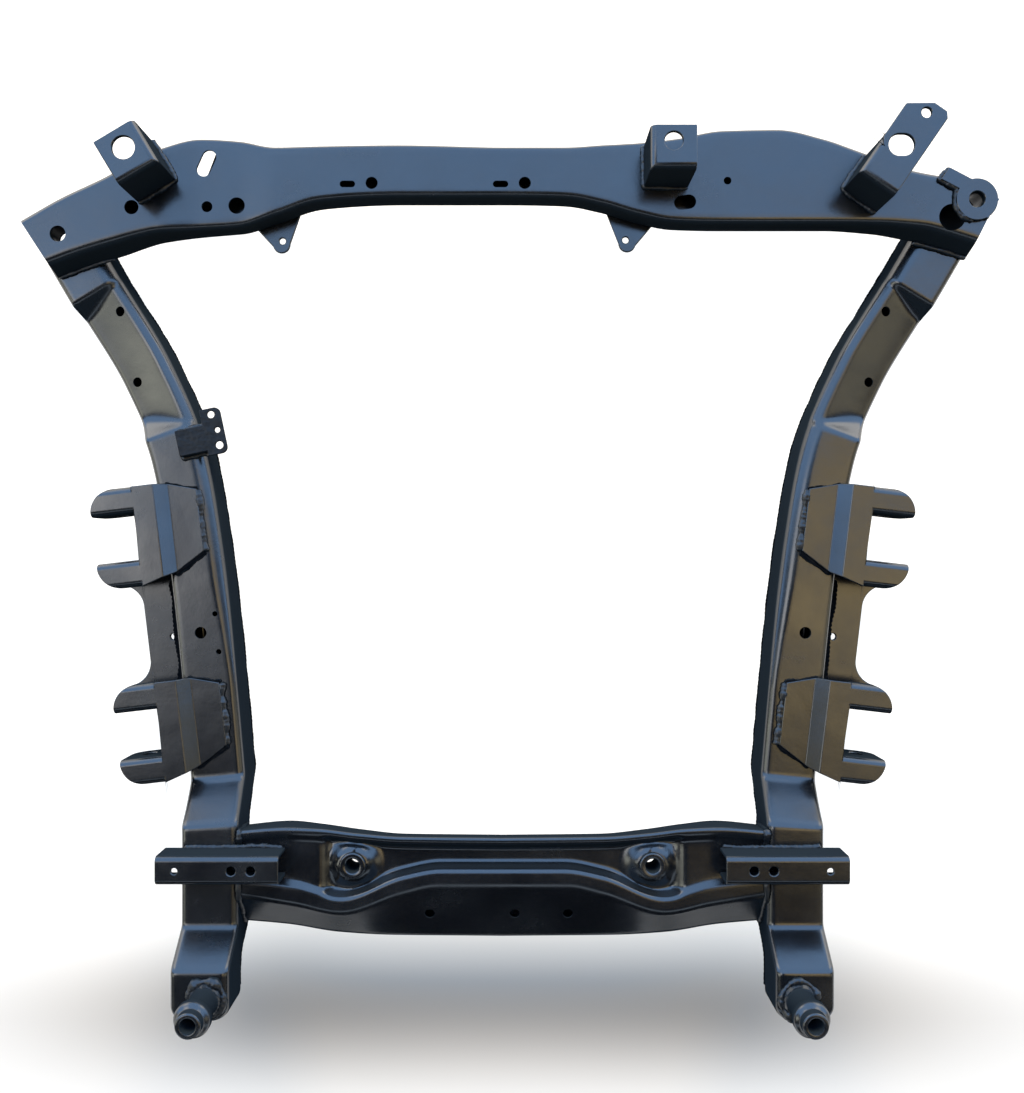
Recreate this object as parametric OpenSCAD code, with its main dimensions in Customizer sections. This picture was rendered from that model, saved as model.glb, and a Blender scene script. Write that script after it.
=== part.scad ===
// Front subframe of a car: two pressed box rails, a rear and a front crossmember, and the
// brackets, pins and seats welded to them. +X is the car's right, +Y its rear, +Z up.
// It lies on the undersides of its rails, with the origin on the middle plane, at the floor.

/* [Sheet and welds] */
// Thickness of the pressed rail and beam sheet
sheet = 2.5; // [2:0.1:3]
// Thickness of the bracket plate
plate = 4; // [3:0.1:5]
// Room left for the weld between two pieces
weld_gap = 0.3; // [0.2:0.05:0.5]
// Outer radius of the brackets' bends
bend_r = 6; // [5.5:0.5:8]

/* [Rails] */
// Width of the upper rail pressing
rail_w = 51; // [49:0.5:53]
// Height of a rail
rail_h = 55; // [50:1:62]
// Height of the lower tray's side walls
tray_wall = 20; // [16:1:24]
// Overlap of the two rail pressings
rail_lap = 7; // [5:1:10]
// Rise of the first step towards the front
step_rise = 40; // [32:1:44]
// Rise of the second step
front_step_rise = 32; // [26:1:36]
// Cut of the large inner shoulder
shoulder = 14; // [10:1:14]
// Cut of the same shoulder in front of the first step
shoulder_front = 8; // [6:1:12]
// Depth of the recess at the rail's outer edge
recess_depth = 18; // [10:1:20]
// Plan radius of the rail's front corners
rail_end_r = 12; // [8:1:13]
// Diameter of the drain hole half way along a rail
drain_d = 11; // [8:1:13]
// Diameter of the two holes in a recess
recess_hole_d = 9; // [6:0.5:10]
// Diameter of the two small clip holes in the left rail
clip_hole_d = 5; // [4:0.5:6]

/* [Rear beam] */
// Depth of the rear beam over the rails
beam_depth = 24; // [20:1:28]
// Height of the lower tray's flanges
beam_flange = 10; // [7:1:12]
// Diameter of the rear mounting holes
mount_d = 14.5; // [13:0.5:16]
// Outer diameter of the crush sleeves in them
sleeve_d = 18.5; // [17.5:0.5:19]
// Diameter of the access hole through the left rail under its mount
access_d = 24; // [20:1:26]
// Radius of the open cut-out beside the right mount
cutout_r = 12; // [9:0.5:13]

/* [Steering rack brackets] */
// Height of the brackets above the beam
rack_h = 50; // [40:1:56]
// Hole in the left bracket
rack_left_d = 20; // [16:0.5:22]
// Hole in the centre bracket
rack_centre_d = 16; // [12:0.5:18]
// Width of the oval hole in the right bracket
rack_right_d = 19; // [15:0.5:20]

/* [Control arm brackets] */
// Distance from the middle plane to the rear pivot
arm_axis_x = 355; // [353:1:358]
// Place of the rear pivot along the car
arm_axis_y = 20; // [16:1:24]
// Lean of the pivot axis in plan, in degrees
arm_lean = 6.7; // [6:0.1:7.5]
// Distance between the front and the rear bracket
arm_spacing = 181; // [176:1:186]
// Gap for the arm's bush
arm_gap = 43; // [39:0.5:46]
// Length of the fork along the car
arm_fork_l = 92; // [90:1:98]
// Diameter of the pivot bolt hole
arm_bolt_d = 12.5; // [10.5:0.5:14.5]
// Height of the fork's plate above the rail
fork_rise = 12; // [9:1:15]
// Drop of the ears below the fork's plate
ear_drop = 44; // [40:1:48]

/* [Front beam] */
// Depth of the front beam
front_depth = 33; // [29:1:38]
// Depth of the valley between its two ridges
valley_depth = 11; // [9:1:12]
// Bore of the bush seats
boss_bore = 12.5; // [10:0.5:14]
// Outer radius of the bush seats
boss_r = 16; // [14:0.5:16.5]
// Diameter of the three holes in the front face
face_hole_d = 9; // [7:0.5:11]

/* [Front pins and radiator brackets] */
// Height of a pin above the rail
pin_h = 53; // [46:1:58]
// Diameter of the pin's shank
pin_d = 24; // [22:0.5:26]
// Bore of the pin
pin_bore = 13; // [10:0.5:15]
// Diameter of the pin's collar
pin_collar_d = 31; // [29:0.5:34]
// Height of the radiator channels
radiator_h = 30; // [24:1:34]
// Width of the radiator channels
radiator_w = 25; // [22:1:30]

/* [Hidden] */
$fn = 48;

paint = "#20262f";
bare = "#3a3f47";
through = 200;

// Middle line of a rail in plan, as [y, x]
rail_path = [
    [-400, 262], [-300, 262], [-245, 262], [-200, 266], [-60, 279],
    [20, 289], [97, 303], [176, 335], [254, 382], [312, 416]
];
rail_front_y = -397;
rail_rear_y = 312;

// The two steps of a rail: where each starts, and its run
step_1_y = -203;
step_1_run = 33;
step_2_y = -327;
step_2_run = 27;
step_soft = 0.2;

// The recess: where its rear and front walls start and end
recess_rear = [250, 241];
recess_front = [140, 123];

// Step in from the outside of a pressing to the one that nests in it
nest = sheet + 2 * weld_gap;
rail_half = rail_w / 2;
level_0 = rail_h;
level_1 = rail_h + step_rise;
level_2 = level_1 + front_step_rise;

beam_z0 = level_0 + weld_gap;
beam_z1 = beam_z0 + beam_depth;
front_z1 = level_1;
front_z0 = front_z1 - front_depth;

// Rear beam in plan, from its left end to its right end:
// [rear edge x, y, front edge x, y, lean of the front wall]
beam_plan = [
    [-439, 310, -413, 270, 8],
    [-402, 331, -386, 280, 8],
    [-366, 348, -356, 289, 8],
    [-311, 376, -313, 299, 4],
    [-275, 385, -277, 301, 1],
    [-240, 383, -242, 303, 0],
    [-207, 377, -205, 314, 0],
    [-166, 378, -166, 326, 0],
    [-93, 379, -93, 330, 0],
    [0, 377, 0, 330, 0],
    [55, 377, 55, 329, 0],
    [90, 379, 90, 323, 0],
    [125, 381, 125, 313, 0],
    [160, 385, 157, 307, 0],
    [200, 392, 200, 306, 0],
    [250, 393, 250, 306, 0],
    [290, 385, 297, 306, 0],
    [325, 373, 340, 306, 3],
    [372, 356, 379, 304, 8],
    [413, 348, 405, 298, 9],
    [437, 341, 421, 293, 9],
    [449, 328, 430, 290, 9]
];

// Holes in the top of the rear beam, as [x, y, diameter], and slots, as [end, end, width]
beam_holes = [
    [-337, 321, 13], [-269, 322, 10], [-242, 323, 15], [-119, 343, 11], [20, 343, 11],
    [162, 325, 13], [169, 326, 13], [204, 345, 7]
];
beam_slots = [
    [[-272, 356], [-267, 367], 13], [[-145, 342], [-137, 342], 6], [[-6, 342], [2, 342], 6]
];
// Notch in the tray below the oblique slot
beam_notch = [[-280, 362], [-270, 388], 15];

// Front beam in plan, as [distance from the middle plane, y]
front_lip = [[0, -344], [100, -343], [150, -340], [195, -333], [240, -329]];
front_crest = [[0, -290], [58, -290], [90, -297], [145, -315], [185, -307], [240, -298]];
valley_front = [[0, -277], [55, -277], [90, -283], [145, -302], [185, -292], [240, -285]];
front_ridge = [[0, -247], [90, -246], [130, -243], [165, -239], [195, -238], [240, -241]];
front_foot = [[0, -253], [90, -252], [130, -248], [165, -243], [195, -240], [240, -244]];
// Share of the valley's depth that is left
valley_share = [[0, 1], [152, 1], [164, 0.3], [240, 0.3]];
ridge_flat = 6;
ridge_fall = 6;
valley_fall = 6;
lip_h = 10;
lip_bend = 4;
boss_at = [134, -272];
face_holes = [[-66, -319], [11, -319], [59, -319]];

rear_mount_left = [-404, 297];
rear_mount_right = [429, 327];
cutout_at = [408, 312];
rear_plate_outline = [[396, 345], [404, 356], [423, 346], [437, 341], [449, 327], [439, 309], [425, 316], [417, 334]];

arm_reach = 20;
fork_back = -38;
fold_run = 10;
base_in = -76;
lip_drop = 12;
arm_axis_drop = 26;
web_drop = 26;

// Rack brackets: corner, turn, width and length in plan, and place of the hole from the corner
rack_left_at = [-296.5, 345.5];
rack_left_turn = 31;
rack_left_size = [40, 42];
rack_left_hole = [20, 25];
rack_centre_at = [128, 338.5];
rack_centre_size = [40, 38];
rack_centre_hole = [20, 24];
rack_right_at = [308, 336.5];
rack_right_turn = -34.5;
rack_right_size = [37, 40];
rack_right_slot = [[15.5, 38], [18.5, 40]];
rack_tongue = [[4, 30], [37, 30], [37, 80], [33, 85], [20, 85], [0, 71], [0, 36]];
rack_tongue_hole = [19, 74];
rack_tongue_d = 9;
// Shield tabs: tip, two feet on the beam and hole
tab_left = [[-206, 294], [-238, 318], [-184, 334], [-205, 297]];
tab_right = [[115.5, 295], [91, 336], [147, 321], [114, 298]];
tab_nose_r = 8;
tab_hole_d = 6;
tab_t = 3;
tip_r = 22;
ear_r = 12;
web_reach = 14;
web_waist = -6;
web_land = 17;
web_corner = 22;

pin_at = [256, -378];
foot_r = 15;
radiator_from = 194;
radiator_l = 107;
radiator_y = -268;
cap_inset = 0.6;
end_share = 0.05;

// Curves through points

function secant(p, i) = (p[i + 1][1] - p[i][1]) / (p[i + 1][0] - p[i][0]);

// Slope at a point: the harmonic mean of its two secants, flat where they turn
function knot_slope(p, i) =
    i == 0 ? secant(p, 0)
    : i == len(p) - 1 ? secant(p, i - 1)
    : let (a = secant(p, i - 1), b = secant(p, i)) a * b <= 0 ? 0 : 2 * a * b / (a + b);

function span_of(p, x, i = 0) = (i >= len(p) - 2 || x < p[i + 1][0]) ? i : span_of(p, x, i + 1);

// Smooth curve through the points p, as a height at x
function curve(p, x) =
    let (
        i = span_of(p, x),
        h = p[i + 1][0] - p[i][0],
        t = (x - p[i][0]) / h,
        m0 = h * knot_slope(p, i),
        m1 = h * knot_slope(p, i + 1)
    )
    p[i][1] * (1 + 2 * t) * (1 - t) * (1 - t) + m0 * t * (1 - t) * (1 - t)
    + p[i + 1][1] * t * t * (3 - 2 * t) - m1 * t * t * (1 - t);

function unit(v) = v / norm(v);

// Ramp from 0 to 1 with softened ends
function soft(t, e) = t < -e ? 0 : t > e ? t : (t + e) * (t + e) / (4 * e);
function ramp(t, e) = soft(t, e) - soft(t - 1, e);

// Round a corner p between a and b: a circular arc that starts cut away from p
function rounded(a, p, b, cut, n) =
    let (d1 = unit(p - a), d2 = unit(b - p), w = sqrt((1 + d1 * d2) / 2))
    [
        for (k = [0 : n - 1])
            let (s = k / (n - 1), q0 = (1 - s) * (1 - s), q1 = 2 * w * s * (1 - s), q2 = s * s)
            (q0 * (p - cut * d1) + q1 * p + q2 * (p + cut * d2)) / (q0 + q1 + q2)
    ];

// Section through corners [point, cut, points in the arc], with plain ends
function section(c) = concat(
    [c[0][0]],
    [
        for (i = [1 : len(c) - 2])
            each rounded(c[i - 1][0], c[i][0], c[i + 1][0], c[i][1], c[i][2])
    ],
    [c[len(c) - 1][0]]
);

function grid_normal(g, i, j) =
    let (n = len(g) - 1, m = len(g[0]) - 1)
    unit(cross(
        g[min(i + 1, n)][j] - g[max(i - 1, 0)][j],
        g[i][min(j + 1, m)] - g[i][max(j - 1, 0)]
    ));

// A sheet of thickness t behind a grid of points on its outer face
module pressed_sheet(g, t) {
    n = len(g);
    m = len(g[0]);
    outer = [for (i = [0 : n - 1]) for (j = [0 : m - 1]) g[i][j]];
    inner = [for (i = [0 : n - 1]) for (j = [0 : m - 1]) g[i][j] - t * grid_normal(g, i, j)];
    back = n * m;
    faces = concat(
        [for (i = [0 : n - 2]) for (j = [0 : m - 2])
            let (a = i * m + j, b = a + m, c = b + 1, d = a + 1)
            each [[a, d, c], [a, c, b], [a + back, c + back, d + back], [a + back, b + back, c + back]]],
        [for (i = [0 : n - 2])
            let (a = i * m, b = a + m, d = a + m - 1, c = d + m)
            each [[a, b, b + back], [a, b + back, a + back], [c, d, d + back], [c, d + back, c + back]]],
        [for (j = [0 : m - 2])
            let (a = j, d = j + 1, b = (n - 1) * m + j, c = b + 1)
            each [[d, a, a + back], [d, a + back, d + back], [b, c, c + back], [b, c + back, b + back]]]
    );
    polyhedron(concat(outer, inner), faces, convexity = 10);
}

module drill(at, d) {
    translate([at[0], at[1], -through]) cylinder(d = d, h = 3 * through);
}

module slot(a, b, d, h) {
    linear_extrude(h) hull() {
        translate(a) circle(d = d);
        translate(b) circle(d = d);
    }
}

// Rails

function rail_x(y) = curve(rail_path, y);
function rail_slope(y) = rail_x(y + 0.5) - rail_x(y - 0.5);

// Point beside the rail's middle line, u outwards
function beside_rail(y, u) =
    let (k = sqrt(1 + rail_slope(y) * rail_slope(y)))
    [rail_x(y) + u / k, y - u * rail_slope(y) / k];

function rail_top(y) =
    level_0
    + step_rise * ramp((step_1_y - y) / step_1_run, step_soft)
    + front_step_rise * ramp((step_2_y - y) / step_2_run, step_soft);

function recess(y) =
    recess_depth
    * ramp((recess_rear[0] - y) / (recess_rear[0] - recess_rear[1]), step_soft)
    * ramp((y - recess_front[1]) / (recess_front[0] - recess_front[1]), step_soft);

// Half width at y of a wall that lies in from the rail's side, drawn in round the front corners
function half_at(y, in) =
    let (back = rail_end_r - (y - rail_front_y), r = rail_end_r - in)
    back <= 0 ? rail_half - in : rail_half - rail_end_r + sqrt(r * r - back * back);

function step_marks(y0, run) = [for (t = [1.2, 1.07, 0.93, 0.8, 0.2, 0.07, -0.07, -0.2]) y0 - t * run];

// Front end of a pressing that lies in from the rail's outside
function end_y(in, share) = rail_front_y + in + share * (rail_end_r - in);

function rail_marks(in) = concat(
    [for (share = [end_share, 0.25, 0.6, 1]) end_y(in, share)],
    step_marks(step_2_y, step_2_run),
    [-275],
    step_marks(step_1_y, step_1_run),
    [-150, -105, -60, -15, 25, 60, 95],
    [120, 124, 131, 138, 143],
    [165, 190, 216],
    [239, 243, 248, 252],
    [272, 292, rail_rear_y]
);

function upper_section(y) =
    let (h = half_at(y, 0), z = rail_top(y), foot = z - rail_h + tray_wall - rail_lap)
    [
        for (q = section([
            [[h, foot], 0, 1],
            [[h, z - recess(y)], 6, 3],
            [[-h, z], shoulder + (shoulder_front - shoulder) * ramp((step_1_y - y) / step_1_run, step_soft), 4],
            [[-h, foot], 0, 1]
        ]))
            let (p = beside_rail(y, q[0])) [p[0], p[1], q[1]]
    ];

function tray_section(y) =
    let (h = half_at(y, nest), z = rail_top(y) - rail_h)
    [
        for (q = section([
            [[-h, z + tray_wall], 0, 1],
            [[-h, z], 8, 3],
            [[h, z], 8, 3],
            [[h, z + tray_wall], 0, 1]
        ]))
            let (p = beside_rail(y, q[0])) [p[0], p[1], q[1]]
    ];

module rail_upper() {
    difference() {
        pressed_sheet([for (y = rail_marks(0)) upper_section(y)], sheet);
        drill(beside_rail(-67, 3), drain_d);
        drill(beside_rail(228, -9), recess_hole_d);
        drill(beside_rail(173, 12), recess_hole_d);
    }
}

module rail_lower() {
    pressed_sheet([for (y = rail_marks(nest)) tray_section(y)], sheet);
}

module left_side() {
    mirror([1, 0, 0]) children();
}

module rail_upper_left() {
    color(paint) difference() {
        left_side() rail_upper();
        drill(rear_mount_left, access_d);
        left_side() for (y = [-51, -86]) drill(beside_rail(y, -12), clip_hole_d);
    }
}

module rail_upper_right() {
    color(paint) rail_upper();
}

module rail_lower_left() {
    color(paint) difference() {
        left_side() rail_lower();
        drill(rear_mount_left, access_d);
    }
}

module rail_lower_right() {
    color(paint) rail_lower();
}

// Plate that closes the front end before the tray, under the top
module rail_end_cap() {
    corner_in = sqrt(1 - (1 - end_share) * (1 - end_share)) * (rail_end_r - sheet);
    half = rail_half - rail_end_r + corner_in - 2 * weld_gap;
    h = rail_h - sheet - weld_gap;
    cut = shoulder_front + 1;
    y0 = rail_front_y + cap_inset;
    y1 = end_y(nest, end_share) - weld_gap;
    translate([rail_x(y1), y1, level_2 - rail_h]) rotate([90, 0, 0]) linear_extrude(y1 - y0)
        polygon([[-half, 0], [half, 0], [half, h - cut], [half - cut, h], [cut - half, h], [-half, h - cut]]);
}

module rail_end_cap_left() {
    color(paint) left_side() rail_end_cap();
}

module rail_end_cap_right() {
    color(paint) rail_end_cap();
}

// Rear beam

beam_steps = 2;
beam_marks = [for (k = [0 : beam_steps * (len(beam_plan) - 1)]) k / beam_steps];

function beam_value(s, column) = curve([for (k = [0 : len(beam_plan) - 1]) [k, beam_plan[k][column]]], s);

// Outer face of the beam's front wall and rear wall at the height z
function beam_front(s, z) =
    [beam_value(s, 2), beam_value(s, 3) - beam_value(s, 4) * (beam_z1 - z) / beam_depth, z];
function beam_rear(s, z) = [beam_value(s, 0), beam_value(s, 1), z];

// The leaning front wall stands a little higher, so that its inner edge clears the rail
function beam_lean(s) = norm([beam_value(s, 4), beam_depth]);

function beam_upper_section(s) =
    section([
        [beam_front(s, beam_z0 + sheet * beam_value(s, 4) / beam_lean(s)), 0, 1],
        [beam_front(s, beam_z1), 6, 4],
        [beam_rear(s, beam_z1), 6, 4],
        [beam_rear(s, beam_z0), 0, 1]
    ]);

// Level direction that points out of a wall through the points a and b
function wall_out(a, b, side) = let (d = unit([b[0] - a[0], b[1] - a[1]])) side * [d[1], -d[0], 0];

function beam_inset(s, z, side) =
    let (
        last = len(beam_plan) - 1,
        before = max(s - 1 / beam_steps, 0),
        after = min(s + 1 / beam_steps, last)
    )
    side > 0
    ? beam_front(s, z) - nest * beam_lean(s) / beam_depth * wall_out(beam_front(before, z), beam_front(after, z), 1)
    : beam_rear(s, z) - nest * wall_out(beam_rear(before, z), beam_rear(after, z), -1);

function beam_lower_section(s) =
    section([
        [beam_inset(s, beam_z0 + beam_flange, -1), 0, 1],
        [beam_inset(s, beam_z0, -1), 4, 3],
        [beam_inset(s, beam_z0, 1), 4, 3],
        [beam_inset(s, beam_z0 + beam_flange, 1), 0, 1]
    ]);

module rear_beam_upper() {
    top_z = beam_z1 - 8;
    color(paint) difference() {
        pressed_sheet([for (s = beam_marks) beam_upper_section(s)], sheet);
        drill(rear_mount_left, mount_d);
        drill(rear_mount_right, mount_d);
        translate([0, 0, top_z]) {
            for (hole = beam_holes) drill_top(hole, hole[2]);
            for (row = beam_slots) slot(row[0], row[1], row[2], through);
            drill_top(cutout_at, 2 * cutout_r);
        }
    }
}

// Holes that pass through the beam's top only
module drill_top(at, d) {
    translate([at[0], at[1], 0]) cylinder(d = d, h = through);
}

module rear_beam_lower() {
    color(paint) difference() {
        pressed_sheet([for (s = beam_marks) beam_lower_section(s)], sheet);
        drill(rear_mount_left, mount_d);
        drill(rear_mount_right, mount_d);
        slot(beam_notch[0], beam_notch[1], beam_notch[2], through);
    }
}

// Crush tube between the floor and the top of the beam
module rear_sleeve(at) {
    z0 = beam_z0 + sheet + weld_gap;
    h = beam_depth - 2 * sheet - 2 * weld_gap;
    color(bare) translate([at[0], at[1], z0]) difference() {
        cylinder(d = sleeve_d, h = h);
        translate([0, 0, -1]) cylinder(d = mount_d, h = h + 2);
    }
}

module rear_sleeve_left() {
    rear_sleeve(rear_mount_left);
}

module rear_sleeve_right() {
    rear_sleeve(rear_mount_right);
}

// Doubling plate with a round nose over the cut-out
module rear_mount_plate() {
    nose_r = 19;
    color(paint) translate([0, 0, beam_z1 + weld_gap]) difference() {
        union() {
            translate(rear_mount_right) cylinder(r = nose_r, h = plate);
            linear_extrude(plate) polygon(rear_plate_outline);
        }
        translate([0, 0, -1]) drill_top(rear_mount_right, mount_d);
    }
}

// Folded bracket: a top plate with one wall down at x = 0 and one at y = 0
module folded_box(w, l, h) {
    difference() {
        folded_core(w, l, h, bend_r);
        translate([plate, plate, -1]) folded_core(w, l, h + 1 - plate, bend_r - plate);
    }
}

module folded_core(w, l, h, r) {
    intersection() {
        translate([0, l, 0]) rotate([90, 0, 0]) linear_extrude(l) folded_edge(w, h, r);
        rotate([90, 0, 90]) linear_extrude(w) folded_edge(l, h, r);
    }
}

// Rectangle with its upper left corner rounded
module folded_edge(w, h, r) {
    square([w, h - r]);
    translate([r, 0]) square([w - r, h]);
    translate([r, h - r]) circle(r);
}

module rack_place(at, turn) {
    translate([at[0], at[1], beam_z1 + weld_gap]) rotate(turn) children();
}

module rack_hole(at, d) {
    translate([at[0], at[1], rack_h / 2]) cylinder(d = d, h = rack_h);
}

module rack_bracket_left() {
    color(paint) rack_place(rack_left_at, rack_left_turn) mirror([1, 0, 0]) difference() {
        folded_box(rack_left_size[0], rack_left_size[1], rack_h);
        rack_hole(rack_left_hole, rack_left_d);
    }
}

module rack_bracket_centre() {
    color(paint) rack_place(rack_centre_at, 0) difference() {
        folded_box(rack_centre_size[0], rack_centre_size[1], rack_h);
        rack_hole(rack_centre_hole, rack_centre_d);
    }
}

// The right bracket's top runs on as a tongue behind the beam
module rack_bracket_right() {
    color(paint) rack_place(rack_right_at, rack_right_turn) difference() {
        union() {
            folded_box(rack_right_size[0], rack_right_size[1], rack_h);
            translate([0, 0, rack_h - plate]) linear_extrude(plate) polygon(rack_tongue);
        }
        translate([0, 0, rack_h / 2]) slot(rack_right_slot[0], rack_right_slot[1], rack_right_d, rack_h);
        rack_hole(rack_tongue_hole, rack_tongue_d);
    }
}

// Ear with a round tip under the beam's front edge
module shield_tab(tip, feet, hole) {
    inside = tab_nose_r - 0.5;
    color(paint) translate([0, 0, beam_z0 - weld_gap - tab_t]) difference() {
        union() {
            translate(tip) cylinder(r = tab_nose_r, h = tab_t);
            linear_extrude(tab_t) polygon([
                feet[0], feet[1],
                tip + inside * [cos(-25), sin(-25)], tip + inside * [cos(205), sin(205)]
            ]);
        }
        translate([0, 0, -1]) drill_top(hole, tab_hole_d);
    }
}

module shield_tab_left() {
    shield_tab(tab_left[0], [tab_left[1], tab_left[2]], tab_left[3]);
}

module shield_tab_right() {
    shield_tab(tab_right[0], [tab_right[1], tab_right[2]], tab_right[3]);
}

// Control arm brackets, in a frame whose y axis is the line of the pivot bolts

fork_z0 = level_0 + weld_gap + fork_rise;
fork_z1 = fork_z0 + plate;
base_z0 = level_0 + weld_gap;
prong_w = (arm_fork_l - arm_gap) / 2;
arm_axis_z = fork_z1 - arm_axis_drop;
web_z0 = level_0 - web_drop;

module arm_frame(along = 0) {
    translate([arm_axis_x, arm_axis_y, 0]) rotate(-arm_lean) translate([0, along, 0]) children();
}

function arm_point(x, y) = [
    arm_axis_x + x * cos(arm_lean) + y * sin(arm_lean),
    arm_axis_y - x * sin(arm_lean) + y * cos(arm_lean)
];

// Inverted channel of two legs, drawn across, with its gap-side leg at x = 0
module prong_profile(w, leg, lip, t, r) {
    difference() {
        union() {
            translate([0, -leg]) square([w, leg - r]);
            translate([r, -r]) square([w - 2 * r, r]);
            translate([r, -r]) circle(r);
            translate([w - r, -r]) circle(r);
        }
        translate([t, -leg - 1]) square([w - 2 * t, leg + 1 - r]);
        translate([r, -r - 1]) square([w - 2 * r, r + 1 - t]);
        translate([r, -r]) circle(r - t);
        translate([w - r, -r]) circle(r - t);
        translate([w - t - 1, -leg - 1]) square([t + 2, leg - lip + 1]);
    }
}

// One prong of the fork, on the side of +y, from the gap's inner end to the tip
module prong() {
    length = 2 * arm_reach;
    intersection() {
        translate([-arm_reach, arm_gap / 2, fork_z1]) rotate([90, 0, 90])
            linear_extrude(length) prong_profile(prong_w, ear_drop, lip_drop, plate, bend_r);
        translate([-arm_reach, 0, 0]) linear_extrude(2 * fork_z1) union() {
            square([length, arm_gap / 2 + prong_w - tip_r]);
            square([length - tip_r, arm_gap / 2 + prong_w]);
            translate([length - tip_r, arm_gap / 2 + prong_w - tip_r]) circle(tip_r);
        }
        translate([0, arm_fork_l, fork_z1]) rotate([90, 0, 0]) linear_extrude(2 * arm_fork_l) union() {
            translate([-arm_reach, ear_r - ear_drop]) square([length, ear_drop]);
            translate([ear_r - arm_reach, -ear_drop]) square([length - 2 * ear_r, ear_drop]);
            translate([ear_r - arm_reach, ear_r - ear_drop]) circle(ear_r);
            translate([arm_reach - ear_r, ear_r - ear_drop]) circle(ear_r);
        }
    }
}

// Base plate on the rail, the fold up from it and the back of the fork
module fork_back_plate() {
    lean = atan2(fork_rise, fold_run);
    shift = plate * tan(lean / 2);
    half = arm_fork_l / 2;
    intersection() {
        translate([0, half, 0]) rotate([90, 0, 0]) linear_extrude(arm_fork_l) polygon([
            [base_in, base_z0],
            [fork_back - fold_run, base_z0],
            [fork_back, fork_z0],
            [-arm_reach, fork_z0],
            [-arm_reach, fork_z1],
            [fork_back - shift, fork_z1],
            [fork_back - fold_run - shift, base_z0 + plate],
            [base_in, base_z0 + plate]
        ]);
        linear_extrude(2 * fork_z1) polygon([
            [base_in, half - 8], [base_in, 26 - half], [fork_back - fold_run, 9 - half],
            [-arm_reach, -half], [-arm_reach, half], [fork_back - fold_run, half]
        ]);
    }
}

module arm_bracket(along) {
    color(paint) arm_frame(along) difference() {
        union() {
            fork_back_plate();
            prong();
            mirror([0, 1, 0]) prong();
        }
        translate([0, arm_fork_l, arm_axis_z]) rotate([90, 0, 0]) cylinder(d = arm_bolt_d, h = 2 * arm_fork_l);
    }
}

module arm_bracket_rear_right() {
    arm_bracket(0);
}

module arm_bracket_front_right() {
    arm_bracket(-arm_spacing);
}

module arm_bracket_rear_left() {
    left_side() arm_bracket(0);
}

module arm_bracket_front_left() {
    left_side() arm_bracket(-arm_spacing);
}

// Bite out of the plate's outer edge, with two rounded corners
module web_notch(half) {
    depth = 2 * arm_reach;
    translate([0, web_corner - half]) square([depth, 2 * (half - web_corner)]);
    translate([web_corner, -half]) square([depth - web_corner, 2 * half]);
    for (side = [-1, 1]) translate([web_corner, side * (half - web_corner)]) circle(web_corner);
}

// Plate from ear to ear, welded along the rail's outer wall
module arm_web() {
    end = arm_gap / 2 + plate + weld_gap;
    from_y = arm_axis_y - end - 6;
    to_y = arm_axis_y - arm_spacing + end + 4;
    wall = rail_half + weld_gap;
    inner = [for (k = [0 : 6]) beside_rail(from_y + (to_y - from_y) * k / 6, wall)];
    color(paint) translate([0, 0, web_z0]) difference() {
        linear_extrude(plate) polygon(concat(
            [arm_point(web_reach, -end), arm_point(3 - arm_reach, -end)],
            inner,
            [arm_point(3 - arm_reach, end - arm_spacing), arm_point(web_reach, end - arm_spacing)]
        ));
        arm_frame(-arm_spacing / 2) translate([web_waist, 0, -1]) linear_extrude(plate + 2)
            web_notch(arm_spacing / 2 - end - web_land);
        translate([0, 0, -1]) drill_top(beside_rail(-69, rail_half + 10), 6);
    }
}

module arm_web_right() {
    arm_web();
}

module arm_web_left() {
    left_side() arm_web();
}

// Small bracket on the left rail: a low channel across the rail with a flange of three holes
module line_bracket() {
    arm_from = 10;
    arm_l = 32;
    arm_w = 24;
    h = 13;
    t = sheet;
    flange_at = [36, 26];
    flange_size = [43, 19];
    flange_r = 6;
    color(paint) translate([-309, 105, level_0 + weld_gap]) rotate(12) difference() {
        union() {
            translate([arm_from, -arm_w / 2, 0]) cube([arm_l, arm_w, h]);
            translate([flange_at[0], flange_at[1], h - t]) rotate(-90) linear_extrude(t)
                channel_outline(flange_size[0], flange_size[1], flange_r);
        }
        translate([arm_from - 1, t - arm_w / 2, -1]) cube([arm_l + 2, arm_w - 2 * t, h - t + 1]);
        translate([46, 20, 0]) cylinder(d = 6.5, h = 2 * h);
        translate([49, 5, 0]) cylinder(d = 5, h = 2 * h);
        translate([48, -9, 0]) cylinder(d = 7, h = 2 * h);
    }
}

// Front pins: a turned hollow pin with a foot and a collar
module front_pin() {
    r = pin_d / 2;
    collar_r = pin_collar_d / 2;
    bore_r = pin_bore / 2;
    color(paint) translate([pin_at[0], pin_at[1], level_2 + weld_gap]) rotate_extrude() polygon([
        [bore_r, 0], [foot_r, 0], [foot_r, 3], [r + 1, 6], [r, 8], [r, pin_h - 24],
        [collar_r - 2, pin_h - 21], [collar_r, pin_h - 19], [collar_r, pin_h - 13], [collar_r - 2, pin_h - 11],
        [r - 1, pin_h - 9], [r - 1, pin_h - 2], [r - 3, pin_h], [bore_r + 1, pin_h], [bore_r, pin_h - 1]
    ]);
}

module front_pin_right() {
    front_pin();
}

module front_pin_left() {
    left_side() front_pin();
}

// Front beam

front_end = rail_x(radiator_y) - rail_half - weld_gap;
front_half_marks = [0, 30, 55, 75, 95, 115, 135, 152, 158, 164, 180, 197, 215, front_end];
front_last = len(front_half_marks) - 1;
front_marks = [for (k = [-front_last : front_last]) sign(k) * front_half_marks[abs(k)]];

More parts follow.
